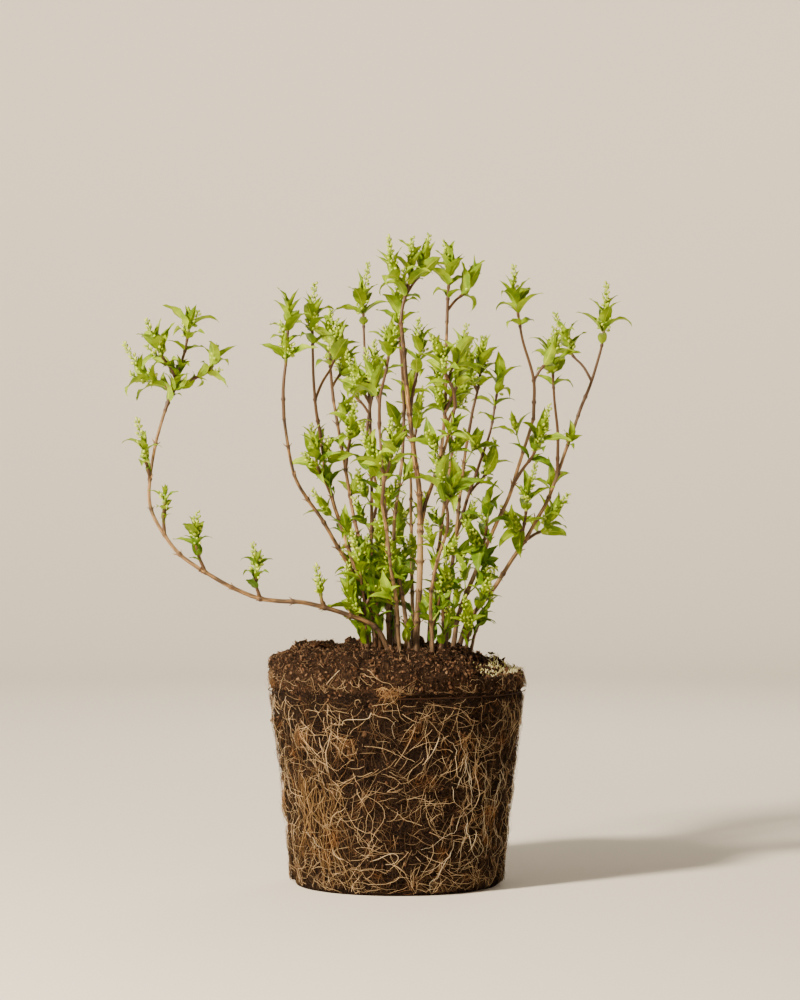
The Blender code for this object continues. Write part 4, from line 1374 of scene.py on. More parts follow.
ROOT_SORTS = (
    RootSort("roots_under", 2500, (0.007, 0.022), (0.13 * MM, 0.22 * MM), (-0.2 * MM, 0.4 * MM),
             (0.0, 0.85), SHADED_ROOT, spread=2.0, kink=0.36, turn=0.9, fills_hollows=True),
    RootSort("roots_over", 3100, (0.007, 0.030), (0.11 * MM, 0.19 * MM), (0.3 * MM, 1.3 * MM),
             (-0.1, 1.0), TAN_ROOT, spread=1.1, kink=0.19, turn=0.6, band=(0.002, 0.138)),
    RootSort("roots_bold", 260, (0.012, 0.036), (0.15 * MM, 0.24 * MM), (0.8 * MM, 1.7 * MM),
             (0.2, 1.0), TAN_ROOT, spread=0.8, kink=0.18, turn=0.6, band=(0.002, 0.138)),
    RootSort("roots_strands", 140, (0.020, 0.056), (0.12 * MM, 0.22 * MM), (0.4 * MM, 1.5 * MM),
             (-0.1, 0.8), GOLD_ROOT, spread=0.26, kink=0.18, turn=0.4, starts=(0.034, 0.086),
             angles=(-2.55, -2.08)),
    RootSort("roots_strands_back", 140, (0.024, 0.066), (0.13 * MM, 0.24 * MM), (0.4 * MM, 1.5 * MM),
             (0.1, 1.0), GOLD_ROOT, spread=0.16, kink=0.12, turn=0.3, starts=(0.045, 0.115),
             angles=(0.60, 1.30)),
    RootSort("roots_pale_strands", 52, (0.014, 0.046), (0.15 * MM, 0.25 * MM), (0.9 * MM, 1.9 * MM),
             (0.1, 1.0), PALE_ROOT, spread=0.25, kink=0.34, turn=0.5, starts=(0.030, 0.112),
             angles=(-1.12, -0.40)),
    RootSort("roots_high", 700, (0.005, 0.018), (0.10 * MM, 0.17 * MM), (0.2 * MM, 1.2 * MM),
             (-0.1, 0.85), TAN_ROOT, spread=1.4, kink=0.36, turn=0.9, band=(0.1432, 0.161),
             starts=(0.1435, 0.156)),
    RootSort("roots_foot", 420, (0.007, 0.020), (0.12 * MM, 0.20 * MM), (0.1 * MM, 0.8 * MM),
             (0.0, 0.9), TAN_ROOT, spread=1.2, kink=0.26, turn=0.9, band=(0.0006, 0.024),
             starts=(0.001, 0.016)),
    RootSort("roots_pale", 40, (0.010, 0.030), (0.14 * MM, 0.23 * MM), (0.9 * MM, 1.9 * MM),
             (0.0, 0.9), PALE_ROOT, spread=0.9, kink=0.34, turn=0.9),
    RootSort("roots_stray", 520, (0.006, 0.015), (0.10 * MM, 0.16 * MM), (0.4 * MM, 1.2 * MM),
             (0.3, 1.0), TAN_ROOT, spread=1.5, kink=0.35, turn=1.2, band=(0.002, 0.158),
             starts=(0.004, 0.156), stray=3.2 * MM, fills_hollows=True),
)

# Where roots fan out from one spot: angle round the ball, height, mean way and longest root
ROOT_FANS = ((-1.68, 0.1455, 0.2, 0.010), (-1.59, 0.1450, 3.1, 0.011), (-0.97, 0.113, -1.5, 0.034),
             (-2.44, 0.116, -1.6, 0.022), (-1.95, 0.112, -2.2, 0.028), (-0.66, 0.060, -1.4, 0.034),
             (0.35, 0.120, -1.5, 0.032), (1.52, 0.104, -1.8, 0.034), (2.52, 0.125, -1.4, 0.030),
             (2.95, 0.060, -1.5, 0.026), (0.95, 0.058, -1.7, 0.028))

# Whitish roots that stand out on the front: places across the ball and up, in millimetres
FRONT_ROOTS = (
    ((-34, 164), (-30, 161), (-25, 161), (-19, 160), (-15, 156), (-10, 153), (-5, 152), (-1, 147)),
    ((-40, 159), (-45, 154), (-50, 149)),
    ((-18, 131), (-20, 127), (-30, 126), (-37, 125), (-39, 121)),
    ((-47, 116), (-48, 107), (-49, 102), (-48, 92), (-47, 82)),
    ((-45, 109), (-40, 104), (-39, 99), (-37, 95)),
    ((13, 121), (9, 111), (4, 102), (-2, 93)),
    ((30, 113), (24, 102), (18, 94)),
    ((61, 94), (55, 88), (56, 79), (57, 70), (54, 62), (48, 56)),
    ((56, 45), (54, 38), (51, 30)),
    ((-19, 25), (-13, 27), (-7, 30), (-2, 31), (1, 28), (-2, 24), (-8, 23)),
    ((10, 14), (12, 19), (17, 22)),
)

# Clods that stand up from the soil: places (x, y) and radius, in millimetres
SOIL_LUMPS = ((-53, 0, 5.0), (-47, 5, 3.6), (-60, -8, 3.4), (-23, 22, 4.6), (-31, 14, 3.2),
              (-80, -4, 3.8), (-76, -22, 3.4), (-84, 8, 3.0), (12, 32, 3.8), (30, 24, 3.0),
              (-66, 22, 3.6), (-5, -62, 3.4), (-44, -48, 3.8), (24, -66, 3.2), (52, 40, 3.4),
              (4, 66, 4.0), (-36, 56, 3.8), (60, -34, 2.8))


@dataclass
class RootBall:
    """The ball of soil: crumbly on top, felted with roots below, with the pot rim's groove."""

    columns: int = 300
    row: float = 1.5 * MM
    wall_relief: float = 1.3 * MM
    wall_sunk: float = 1.0 * MM
    soil_relief: float = 4.6 * MM
    right_drop: float = 5.0 * MM
    groove_depth: float = 1.8 * MM
    groove_width: float = 1.2 * MM
    root_step: float = 3.0 * MM
    flow_size: float = 30 * MM
    flow_swing: float = 1.3
    front_flow: float = -0.65
    front_angle: float = -1.35
    hollow_size: float = 13 * MM
    hollow_depth: float = 2.4 * MM
    hollow_sunk: float = 1.4 * MM
    # Tone of the side under the root felt, kept low to paint the shade between the roots, and of the soil
    # on top
    wall_shade_tone: float = 0.15
    top_tone: float = 0.62
    fan_roots: int = 24
    fibre_radii: Place = (0.022, 0.040, 0.036, 0.014)

    def side_radius(self, height: float) -> float:
        """The turned ball's radius at a height."""
        side = ball_profile()[4:]
        for (r, z), (next_r, next_z) in zip(side, side[1:]):
            if height >= next_z:
                share = min(1.0, (height - next_z) / (z - next_z))
                return next_r + (r - next_r) * share
        return side[-1][0]

    def on_side(self, angle: float, height: float, lift: float) -> Vector:
        """A place on the ball's rough side.

        Args:
            angle: the angle round the ball.
            height: the height.
            lift: how far out from the side.

        Returns:
            The place.
        """
        outward = Vector((math.cos(angle), math.sin(angle), 0))
        place = roughen_ball(outward * self.side_radius(height) + UP * height)
        return place + outward * lift

    def hollow(self, place: Vector) -> float:
        """How bare of roots and how sunk the side is at a place, from 0 to 1."""
        bare = noise.noise(place / self.hollow_size + Vector((0, 0, 3)))
        return max(0.0, min(1.0, (bare - 0.12) / 0.20))

    def relief(self, place: Vector, facing_up: float) -> float:
        """How far the surface stands out at a place of the roughened ball.

        Args:
            place: the place.
            facing_up: how much the surface faces up, from 0 to 1.

        Returns:
            The height along the normal.
        """
        if place.z < MM:
            return 0.0
        wall = self.wall_relief * (noise.noise(place / (7 * MM)) - 0.6 * abs(noise.noise(place / (3 * MM))))
        wall -= self.wall_sunk + self.hollow_depth * self.hollow(place)
        pressed = 0.25 + 0.75 * max(0.0, min(1.0, (place.x + 0.030) / 0.020))
        wall -= pressed * self.groove_depth * math.exp(-((place.z - BALL_SEAM_Z) / self.groove_width) ** 2)
        lumps = ((0.8, 13.0), (0.7, 5.5), (0.45, 2.4))
        soil = self.soil_relief * sum(part * noise.noise(place / (size * MM)) for part, size in lumps)
        soil -= self.right_drop * max(0.0, min(1.0, (place.x - 0.046) / 0.014)) * facing_up
        share = max(0.0, min(1.0, (place.z - BALL_SEAM_Z - 4 * MM) / (10 * MM)))
        return wall * (1 - share) + soil * share * (0.5 + 0.5 * facing_up)

    def skin(self) -> bpy.types.Mesh:
        """Build the ball's surface.

        Returns:
            A closed mesh whose strewn value says how many crumbs lie on each part.
        """
        rings = []
        profile = ball_profile()
        for (r, z), (next_r, next_z) in zip(profile, profile[1:]):
            parts = max(1, round(math.hypot(next_r - r, next_z - z) / self.row))
            rings += [(r + (next_r - r) * n / parts, z + (next_z - z) * n / parts) for n in range(parts)]
        rings.append(profile[-1])
        bm = bmesh.new()
        top = bm.verts.new((0, 0, SOIL_Z))
        rows = []
        for r, z in rings[1:]:
            turns = [math.tau * k / self.columns for k in range(self.columns)]
            rows.append([bm.verts.new(roughen_ball(Vector((r * math.cos(t), r * math.sin(t), z))))
                         for t in turns])
        foot = bm.verts.new((0, 0, 0))
        for k in range(self.columns):
            after = (k + 1) % self.columns
            bm.faces.new((top, rows[0][k], rows[0][after]))
            bm.faces.new((foot, rows[-1][after], rows[-1][k]))
            for upper, lower in zip(rows, rows[1:]):
                bm.faces.new((upper[k], lower[k], lower[after], upper[after]))
        bm.normal_update()
        heights = [(v, v.normal.copy(), self.relief(v.co, max(0.0, v.normal.z))) for v in bm.verts]
        for vert, facing, height in heights:
            vert.co += facing * height
        made = bpy.data.meshes.new("ball_skin")
        bm.to_mesh(made)
        bm.free()
        made.shade_smooth()
        strewn = made.attributes.new("strewn", "FLOAT", "POINT")
        strewn.data.foreach_set("value", [self.crumb_share(v.co.z) for v in made.vertices])
        # Below the seam the skin gets a low tone: painted shade in the gaps between the roots, partly dark
        # peat
        tone = made.attributes.new("tone", "FLOAT", "POINT")
        tone.data.foreach_set("value", [
            self.top_tone if v.co.z > BALL_SEAM_Z + 3 * MM else self.wall_shade_tone for v in made.vertices])
        return made

    def crumb_share(self, height: float) -> float:
        """How many crumbs lie at a height, from 0 to 1."""
        if height > BALL_SEAM_Z + 2 * MM:
            return 1.0
        return 0.18 if height > 7.5 * MM else 0.0

    def flow(self, angle: float, height: float) -> float:
        """The way in which roots run at a place: down, but swinging from side to side."""
        place = Vector((math.cos(angle), math.sin(angle), 0)) * BALL_SEAM_R + UP * height
        aslant = self.front_flow * math.exp(-((angle - self.front_angle) / 0.4) ** 2)
        return -math.pi / 2 + aslant + self.flow_swing * noise.noise(place / self.flow_size) * 1.6

    def strand(self, sort: RootSort, start: Place, heading: float, length: float,
               rule: random.Random) -> tuple[list[Vector], list[float]]:
        """Let one root run over the side.

        Args:
            sort: its sort.
            start: the angle and height of its start.
            heading: its way there, from the horizontal.
            length: its length.
            rule: the sort's random rule.

        Returns:
            Its points and radii.
        """
        angle, height = start
        steps = max(4, round(length / self.root_step))
        lift = rule.uniform(*sort.lifts)
        radius = rule.uniform(*sort.radii)
        bend = rule.gauss(0, sort.turn) / steps
        swing = 0.0
        points, radii = [], []
        for n in range(steps + 1):
            share = n / steps
            hump = math.sin(math.pi * share)
            out = lift * hump ** 0.5 - 0.7 * MM * (1 - hump) ** 2 + sort.stray * share ** 2
            place = self.on_side(angle, height, out + rule.uniform(-0.15, 0.15) * MM)
            sunk = self.hollow_sunk * self.hollow(place)
            points.append(place - Vector((math.cos(angle), math.sin(angle), 0)) * sunk)
            radii.append(radius * (1 - 0.6 * share))
            swing = 0.5 * swing + rule.gauss(0, sort.kink)
            heading += bend
            rise = self.root_step * math.sin(heading + swing)
            if not sort.band[0] < height + rise < sort.band[1]:
                heading, swing, rise = -heading, -swing, -rise
            height = max(sort.band[0], min(sort.band[1], height + rise))
            angle += self.root_step * math.cos(heading + swing) / self.side_radius(height)
        return points, radii

    def roots(self, sort: RootSort) -> Paths:
        """Lay all roots of a sort.

        Args:
            sort: the sort.

        Returns:
            Their paths.
        """
        rule = random.Random(sort.name)
        paths = Paths()
        for _ in range(sort.count):
            angle = rule.uniform(*sort.angles)
            height = rule.uniform(*sort.starts)
            heading = -math.pi / 2 if sort.spread < 0.3 else self.flow(angle, height)
            heading += rule.gauss(0, sort.spread)
            if rule.random() < 0.3:
                heading += math.pi
            points, radii = self.strand(sort, (angle, height), heading, rule.uniform(*sort.lengths), rule)
            tone = rule.uniform(*sort.tones)
            bare = self.hollow(points[len(points) // 2])
            if sort.fills_hollows or rule.random() > bare:
                paths.lay(points, radii, [tone] * len(points))
        return paths

    def fans(self) -> Paths:
        """Lay the rusty and tan roots that fan out from a few spots."""
        rule = random.Random("root fans")
        sort = RootSort("roots_fans", 0, (0.004, 0.036), (0.12 * MM, 0.21 * MM), (0.7 * MM, 1.6 * MM),
                        (0, 1), FAN_ROOT, kink=0.24, turn=0.5, band=(0.002, 0.1495))
        paths = Paths()
        for angle, height, way, longest in ROOT_FANS:
            for _ in range(self.fan_roots):
                heading = rule.gauss(way, 0.8)
                start = (angle + rule.gauss(0, 0.035), height + rule.gauss(0, 1.6 * MM))
                length = rule.uniform(sort.lengths[0], longest)
                points, radii = self.strand(sort, start, heading, length, rule)
                paths.lay(points, radii, [rule.uniform(0.1, 0.9)] * len(points))
        return paths

    def front_roots(self) -> Paths:
        """Lay the whitish roots that stand out on the front."""
        rule = random.Random("front roots")
        paths = Paths()
        for spots in FRONT_ROOTS:
            way = Route([(x * MM, 0, z * MM) for x, z in spots], (0.27 * MM, 0.15 * MM), steps=4)
            points = []
            for n, place in enumerate(way.points):
                hump = math.sin(math.pi * n / (len(way.points) - 1))
                angle = -math.acos(place.x / self.side_radius(place.z))
                out = (2.1 * hump ** 0.5 - 0.5 + rule.uniform(-0.15, 0.15)) * MM
                points.append(self.on_side(angle, place.z, out))
            paths.lay(points, way.radius_at_points(), [rule.uniform(0.1, 0.8)] * len(points))
        return paths

    def rim_root(self) -> Paths:
        """Lay the brown root that runs round in the groove of the pot's rim."""
        rule = random.Random("rim root")
        paths = Paths()
        for first, last in ((-1.75, -0.05), (0.4, 2.1), (2.5, 3.6)):
            count = round((last - first) * BALL_SEAM_R / self.root_step)
            points = [self.on_side(first + (last - first) * n / count,
                                   BALL_SEAM_Z + rule.uniform(-0.25, 0.25) * MM, 0.9 * MM)
                      for n in range(count + 1)]
            paths.lay(points, [rule.uniform(0.38, 0.52) * MM for _ in points],
                      [rule.uniform(0.0, 0.6)] * len(points))
        return paths

    def crumb_forms(self, name: str, seed: int, sides: int, rings: int,
                    tone: float = 0.0) -> bpy.types.Collection:
        """Make five lumpy crumbs of about radius 1.

        Args:
            name: the collection's name.
            seed: where in the noise the lumps are taken.
            sides: how many sides a crumb has.
            rings: how many rings of faces a crumb has.
            tone: how light the crumbs are, where no tree gives them their own tone.

        Returns:
            The collection.
        """
        meshes = []
        for n in range(5):
            corners, faces = unit_ball(sides, rings)
            shift = Vector((seed + 3.1 * n, 0, 0))
            lumpy = [c * (1 + 0.6 * noise.noise(c * 1.4 + shift)) * (1 + 1.0 * noise.noise(c * 5 + shift))
                     for c in corners]
            lumpy = [Vector((c.x * 1.35, c.y * (0.6 + 0.08 * n), c.z * (0.35 + 0.1 * n))) for c in lumpy]
            mesh = bpy.data.meshes.new(f"{name}_{n}")
            mesh.from_pydata(lumpy, [], faces)
            if tone:
                own = mesh.attributes.new("tone", "FLOAT", "POINT")
                own.data.foreach_set("value", [tone] * len(lumpy))
            meshes.append(mesh)
        return form_collection(name, meshes)

    def fibre_forms(self, name: str) -> bpy.types.Collection:
        """Make eight bent bits of torn fibre, of length 1.

        Args:
            name: the collection's name.

        Returns:
            The collection.
        """
        meshes = []
        for n in range(8):
            rule = random.Random(f"{name} {n}")
            heading = Vector((1, 0, 0))
            points = [Vector((-0.5, 0, 0))]
            for _ in range(3):
                heading = (heading + Vector((0, rule.gauss(0, 0.5), rule.gauss(0, 0.3)))).normalized()
                points.append(points[-1] + heading / 3)
            mesh = bpy.data.meshes.new(f"{name}_{n}")
            corners, faces = tube(points, self.fibre_radii, 3)
            mesh.from_pydata(corners, [], faces)
            meshes.append(mesh)
        return form_collection(name, meshes)

    def moss(self, ground: BVHTree) -> Paths:
        """Lay the pale moss on the right of the soil.

        Args:
            ground: the ball's skin.

        Returns:
            Its paths.
        """
        rule = random.Random("moss")
        paths = Paths()
        for _ in range(420):
            angle = rule.uniform(-0.75, 0.95)
            radius = rule.triangular(0.066, 0.092, 0.086)
            root = top_of(ground, radius * math.cos(angle), radius * math.sin(angle))
            lean = Vector((rule.gauss(0, 0.5), rule.gauss(0, 0.5), 1)).normalized()
            length = rule.uniform(1.2, 4.2) * MM * (1.3 - abs(angle))
            bend = Vector((rule.gauss(0, 0.3), rule.gauss(0, 0.3), 0)) * length
            points = [root - UP * MM, root + lean * length * 0.5, root + lean * length + bend]
            paths.lay(points, [0.34 * MM, 0.28 * MM, 0.12 * MM], [rule.uniform(0.2, 1.0)] * 3)
        return paths

    def seedling(self, ground: BVHTree) -> Paths:
        """Lay the tiny dark seedling that stands in the moss.

        Args:
            ground: the ball's skin.

        Returns:
            Its paths.
        """
        rule = random.Random("seedling")
        paths = Paths()
        root = top_of(ground, 0.068, -0.004)
        top = root + Vector((0.5, 0.0, 7.5)) * MM
        paths.lay([root - UP * 2 * MM, root, top], [0.3 * MM] * 3, [0.4] * 3)
        for turn in range(5):
            out = Vector((math.cos(turn * 1.3), math.sin(turn * 1.3), rule.uniform(0.1, 0.6)))
            way = out.normalized() * rule.uniform(2.2, 3.4) * MM
            points = [top, top + way * 0.5, top + way]
            paths.lay(points, [0.25 * MM, 0.8 * MM, 0.15 * MM], [rule.random()] * 3)
        return paths

    def clods(self, ground: BVHTree) -> Places:
        """Set the clods that stand up from the soil.

        Args:
            ground: the ball's skin.

        Returns:
            Their places.
        """
        rule = random.Random("clods")
        places = Places()
        for n, (x, y, radius) in enumerate(SOIL_LUMPS):
            root = top_of(ground, x * MM, y * MM)
            way = Vector((rule.gauss(0, 1), rule.gauss(0, 1), 0.2)).normalized()
            size = [radius * MM * rule.uniform(0.75, 1.15) for _ in range(3)]
            places.put(root, way, UP, tuple(size), n)
        return places

    def build(self, tubes: bpy.types.NodeTree, strewing: bpy.types.NodeTree,
              placing: bpy.types.NodeTree) -> None:
        """Build the ball's pieces.

        Args:
            tubes: the tree that makes tubes.
            strewing: the tree that strews forms over a skin.
            placing: the tree that sets forms on points.
        """
        skin = self.skin()
        ground = BVHTree.FromPolygons([v.co for v in skin.vertices], [p.vertices for p in skin.polygons])
        crumb_finish = SoilFinish("Loose_peat_crumb", wet="#2C1A10", crumb="#6E4E38", speck="#A0846A",
                                  grain=0.7 * MM).make()
        clod_finish = SoilFinish("Damp_peat_clod", wet="#24160D", crumb="#563C2A", speck="#8E745A",
                                 grain=0.7 * MM).make()
        for name, forms, density, sizes, seed, finish in (
                ("soil_crumbs", self.crumb_forms("crumb_form", 3, 5, 3), 70000.0,
                 (0.4 * MM, 1.5 * MM), 3, crumb_finish),
                ("soil_clods", self.crumb_forms("clod_form", 5, 10, 6), 3000.0,
                 (1.3 * MM, 3.2 * MM), 8, clod_finish),
                ("peat_fibres", self.fibre_forms("fibre_form"), 125000.0,
                 (1.8 * MM, 6.4 * MM), 5, FIBRE.make())):
            made = grow(name, skin.copy(), strewing, {
                "Forms": forms, "Density": density, "Smallest": sizes[0], "Largest": sizes[1],
                "Seed": seed, "Finish": finish})
            finish_piece(made, ["root_ball"])
        made = grow("soil_lumps", self.clods(ground).mesh("lump_places"), placing, {
            "Forms": self.crumb_forms("lump_form", 8, 14, 10, 0.5), "Finish": clod_finish})
        finish_piece(made, ["root_ball"])
        # The skin under the root felt is nearly black: dark peat, with painted shade in the gaps between
        # the roots
        skin.materials.append(SoilFinish("Rooted_peat_soil", wet="#0A0604", crumb="#1C120B",
                                         speck="#5A4230", fibre="#33241A", web=1.9 * MM).make())
        body = bpy.data.objects.new("ball_soil", skin)
        bpy.context.scene.collection.objects.link(body)
        finish_piece(body, ["root_ball"])
        moss = RootFinish("Pale_moss", "#C2BA66", "#E4DC92", "#F8F4CC", dust="#A89C5C", rust="#D2CC7C")
        seedling = RootFinish("Dark_seedling", "#1C1A0E", "#2E2A14", "#4A4A1E", rust="#2A2010")
        pieces = [(sort.name, self.roots(sort), sort.sides, sort.finish) for sort in ROOT_SORTS]
        pieces += [("roots_fans", self.fans(), 3, FAN_ROOT),
                   ("roots_front", self.front_roots(), 6, PALE_ROOT),
                   ("rim_root", self.rim_root(), 4, RIM_ROOT),
                   ("moss", self.moss(ground), 3, moss),
                   ("seedling", self.seedling(ground), 6, seedling)]
        for name, paths, sides, finish in pieces:
            made = grow(name, paths.mesh(name + "_paths"), tubes, {
                "Sides": sides, "Relief": 0.0, "Relief Grain": (MM, MM, MM), "Finish": finish.make()})
            finish_piece(made, ["root_ball"])


def top_of(ground: BVHTree, x: float, y: float) -> Vector:
    """The highest place of the ground at x and y."""
    return ground.ray_cast(Vector((x, y, 1.0)), -UP)[0]


@dataclass(frozen=True)
class LeafForm:
    """One way in which a leaf is bent, for a leaf of length 1 along X with its upper side up.

    It leaves its stalk tilted up by the angle arch, and bends down by the angle droop.
    """

    arch: float
    droop: float
    fold: float = 0.30
    twist: float = 0.0
    sickle: float = 0.0
    wave: float = 0.014
    width: float = 0.38
    stalk: float = 0.05

    def half_width(self, share: float) -> float:
        """Half the width at a share of the length: lance-shaped with a drawn-out tip."""
        blade = (share - self.stalk) / (1 - self.stalk)
        if blade <= 0:
            return LEAF_STALK_R
        widest = LEAF_BASE_POWER / (LEAF_BASE_POWER + LEAF_TIP_POWER)
        shape = (blade / widest) ** LEAF_BASE_POWER * ((1 - blade) / (1 - widest)) ** LEAF_TIP_POWER
        return max(LEAF_STALK_R * (1 - blade), shape * self.width / 2)

    def mesh(self, name: str) -> bpy.types.Mesh:
        """Build the leaf.

        Args:
            name: the mesh's name.

        Returns:
            A sheet with its own map: u across it, v from stalk to tip.
        """
        corners, leaf_map = [], []
        along, rise, before = 0.0, 0.0, 0.0
        for n, share in enumerate((*LEAF_ROWS, 1.0)):
            pitch = self.arch - self.droop * ((share + before) / 2) ** 2
            along += (share - before) * math.cos(pitch)
            rise += (share - before) * math.sin(pitch)
            before = share
            turn = self.twist * share
            for column in LEAF_COLUMNS if share < 1 else (0.0,):
                across = column * self.half_width(share)
                lift = self.fold * abs(across)
                lift += self.wave * abs(column) * math.sin(n * LEAF_WAVE_STEP + column)
                y = across * math.cos(turn) - lift * math.sin(turn) + self.sickle * share ** 2
                up = across * math.sin(turn) + lift * math.cos(turn)
                corners.append((along - up * math.sin(pitch), y, rise + up * math.cos(pitch)))
                leaf_map.append((0.5 + column / 2, share))
        columns = len(LEAF_COLUMNS)
        last = (len(LEAF_ROWS) - 1) * columns
        faces = [(a, a + columns, a + columns + 1, a + 1)
                 for row in range(0, last, columns) for a in range(row, row + columns - 1)]
        faces += [(a, last + columns, a + 1) for a in range(last, last + columns - 1)]
        made = bpy.data.meshes.new(name)
        made.from_pydata(corners, [], faces)
        layer = made.uv_layers.new(name="leaf_map")
        for loop in made.loops:
            layer.data[loop.index].uv = leaf_map[loop.vertex_index]
        return made


def bud_mesh(name: str, sides: int, point: float, neck: float) -> bpy.types.Mesh:
    """Build a closed bud along X.

    Args:
        name: the mesh's name.
        sides: how many sides it has.
        point: how far its far end is drawn out, from 0.
        neck: how much slimmer its foot is, from 0 to 1.

    Returns:
        A round body of radius 1, standing on the origin.
    """
    corners, faces = unit_ball(sides, 4)
    placed = []
    for corner in corners:
        share = (corner.z + 1) / 2
        slim = (1 - point * share ** 2) * (1 - min(0.75, neck) * max(0.0, 1 - share * 1.8))
        placed.append((share * (2 + point + neck), corner.x * slim, corner.y * slim))
    made = bpy.data.meshes.new(name)
    made.from_pydata(placed, [], faces)
    bm = bmesh.new()
    bm.from_mesh(made)
    bmesh.ops.recalc_face_normals(bm, faces=bm.faces)
    bm.to_mesh(made)
    bm.free()
    return made


# Where a cane's bark has worn smooth and pale: its lowest and highest place
BLEACHED = {"main_stem": (0.212, 0.262)}

# Canes that are slimmer than their solids
SLIM = {"main_stem": 0.86}


@dataclass
class Canes:
    """Canes and boughs with swollen nodes, which run down into the soil and into their carriers."""

    sides: int = 10
    step: float = 1.1 * MM
    node_gap: float = 21 * MM
    node_swells: Place = (0.20, 0.58)
    node_length: float = 1.3 * MM
    buried: float = 14 * MM
    drawn: float = 0.98
    flare: float = 0.18
    flare_height: float = 9 * MM
    relief: float = 0.26 * MM
    relief_grain: Place = (0.9 * MM, 0.9 * MM, 7 * MM)
    bud_length: float = 1.5 * MM
    weathered: Place = (0.0, 0.22)
    bleached: float = 0.55
    routes: dict[str, Route] = field(default_factory=limb_routes)
    paths: Paths = field(default_factory=Paths)
    node_places: dict[str, list[float]] = field(default_factory=dict)

    def nodes_on(self, name: str, length: float) -> list[float]:
        """Where the nodes of a cane are: at its forks, and evenly between them.

        Args:
            name: the cane.
            length: its length.

        Returns:
            Distances from its foot.
        """
        shares = [x.at for x in (*LIMBS, *MASSES) if x.on == name and x.at < 1.0]
        forks = [0.0, *sorted(share * length for share in shares), length]
        nodes = []
        for a, b in zip(forks, forks[1:]):
            parts = max(1, round((b - a) / self.node_gap))
            nodes += [a + (b - a) * n / parts for n in range(1, parts + 1)]
        return nodes

    def lay(self, limb: Limb) -> None:
        """Add one limb's path, with its swollen nodes.

        Args:
            limb: the limb.
        """
        route = self.routes[limb.name]
        points = route.fine(self.step)
        run, total = [0.0], 0.0
        for a, b in zip(points, points[1:]):
            total += (b - a).length
            run.append(total)
        nodes = self.nodes_on(limb.name, total)
        self.node_places[limb.name] = [n / total for n in nodes]
        rule = random.Random(limb.name + " nodes")
        swells = [(n, rule.uniform(*self.node_swells)) for n in nodes]
        radii, knots = [], []
        for distance in run:
            radius = route.radii[0] + (route.radii[1] - route.radii[0]) * distance / total
            knot, swell = max((math.exp(-((distance - n) / self.node_length) ** 2), s) for n, s in swells)
            if limb.foot:
                radius *= 1 + self.flare * math.exp(-distance / self.flare_height)
            slim = self.drawn * SLIM.get(limb.name, 1.0)
            radii.append(radius * slim * (1 + swell * knot))
            knots.append(knot * 0.8)
        if limb.foot:
            start = points[0] - UP * self.buried
        else:
            start = self.routes[limb.on].at(limb.at)[0]
        points = [wander(p) for p in [start, *points]]
        low, high = BLEACHED.get(limb.name, (0.0, 0.0))
        weathered = rule.uniform(*self.weathered)
        tones = [self.bleached if low < point.z < high else weathered for point in points]
        self.paths.lay(points, [radii[0], *radii], tones, [0.0, *knots])

    def lay_buds(self, buds: Places) -> None:
        """Set a pair of small closed buds on each node, every pair a quarter turn on."""
        for name, nodes in self.node_places.items():
            rule = random.Random(name + " buds")
            first = rule.uniform(0, math.pi)
            for n, share in enumerate(nodes[:-1]):
                point, heading, radius = self.routes[name].at(share)
                side = heading.orthogonal().normalized()
                for half in (0, math.pi):
                    turn = first + PAIR_QUARTER_TURN * n + half
                    out = side * math.cos(turn) + heading.cross(side) * math.sin(turn)
                    size = self.bud_length * rule.uniform(0.7, 1.2)
                    way = (heading + out * 0.8).normalized()
                    root = wander(point) + out * radius
                    buds.put(root, way, out, (size, size * 0.42, size * 0.34))

    def build(self, tubes: bpy.types.NodeTree, placing: bpy.types.NodeTree) -> None:
        """Build the canes and their resting buds.

        Args:
            tubes: the tree that makes tubes.
            placing: the tree that sets forms on points.
        """
        names = [limb.name for limb in LIMBS]
        for limb in LIMBS:
            self.lay(limb)
        made = grow("canes", self.paths.mesh("cane_paths"), tubes, {
            "Sides": self.sides, "Relief": self.relief, "Relief Grain": self.relief_grain,
            "Finish": BarkFinish().make()})
        finish_piece(made, names)
        buds = Places()
        self.lay_buds(buds)
        forms = form_collection("resting_bud", [bud_mesh("resting_bud", 6, 0.6, 0.0)])
        made = grow("resting_buds", buds.mesh("resting_bud_places"), placing, {
            "Forms": forms, "Finish": BarkFinish("Scaly_resting_bud", shade="#5E4028",
                                                 body="#8C6A42", light="#A9944F").make()})
        finish_piece(made, names)


LEAF_FORMS = (
    LeafForm(0.15, 0.30, fold=0.95, width=0.26),
    LeafForm(0.35, 1.00, fold=0.60, width=0.33, sickle=0.04),
    LeafForm(0.35, 1.30, fold=0.50, width=0.36, twist=0.45),
    LeafForm(0.45, 1.90, fold=0.45, width=0.34, twist=-0.40, sickle=-0.06),
    LeafForm(0.20, 0.80, fold=0.50, width=0.38, wave=0.028),
    LeafForm(0.50, 2.40, fold=0.60, width=0.31, twist=0.30, sickle=0.07),
    LeafForm(0.10, 0.20, fold=0.80, width=0.29, twist=-0.55, sickle=-0.04),
    LeafForm(0.25, 1.10, fold=0.35, width=0.37, twist=0.80, sickle=0.09, wave=0.030),
)
YOUNG_FORMS = (0, 1, 4, 6)
GROWN_FORMS = (1, 2, 3, 4, 5, 7)

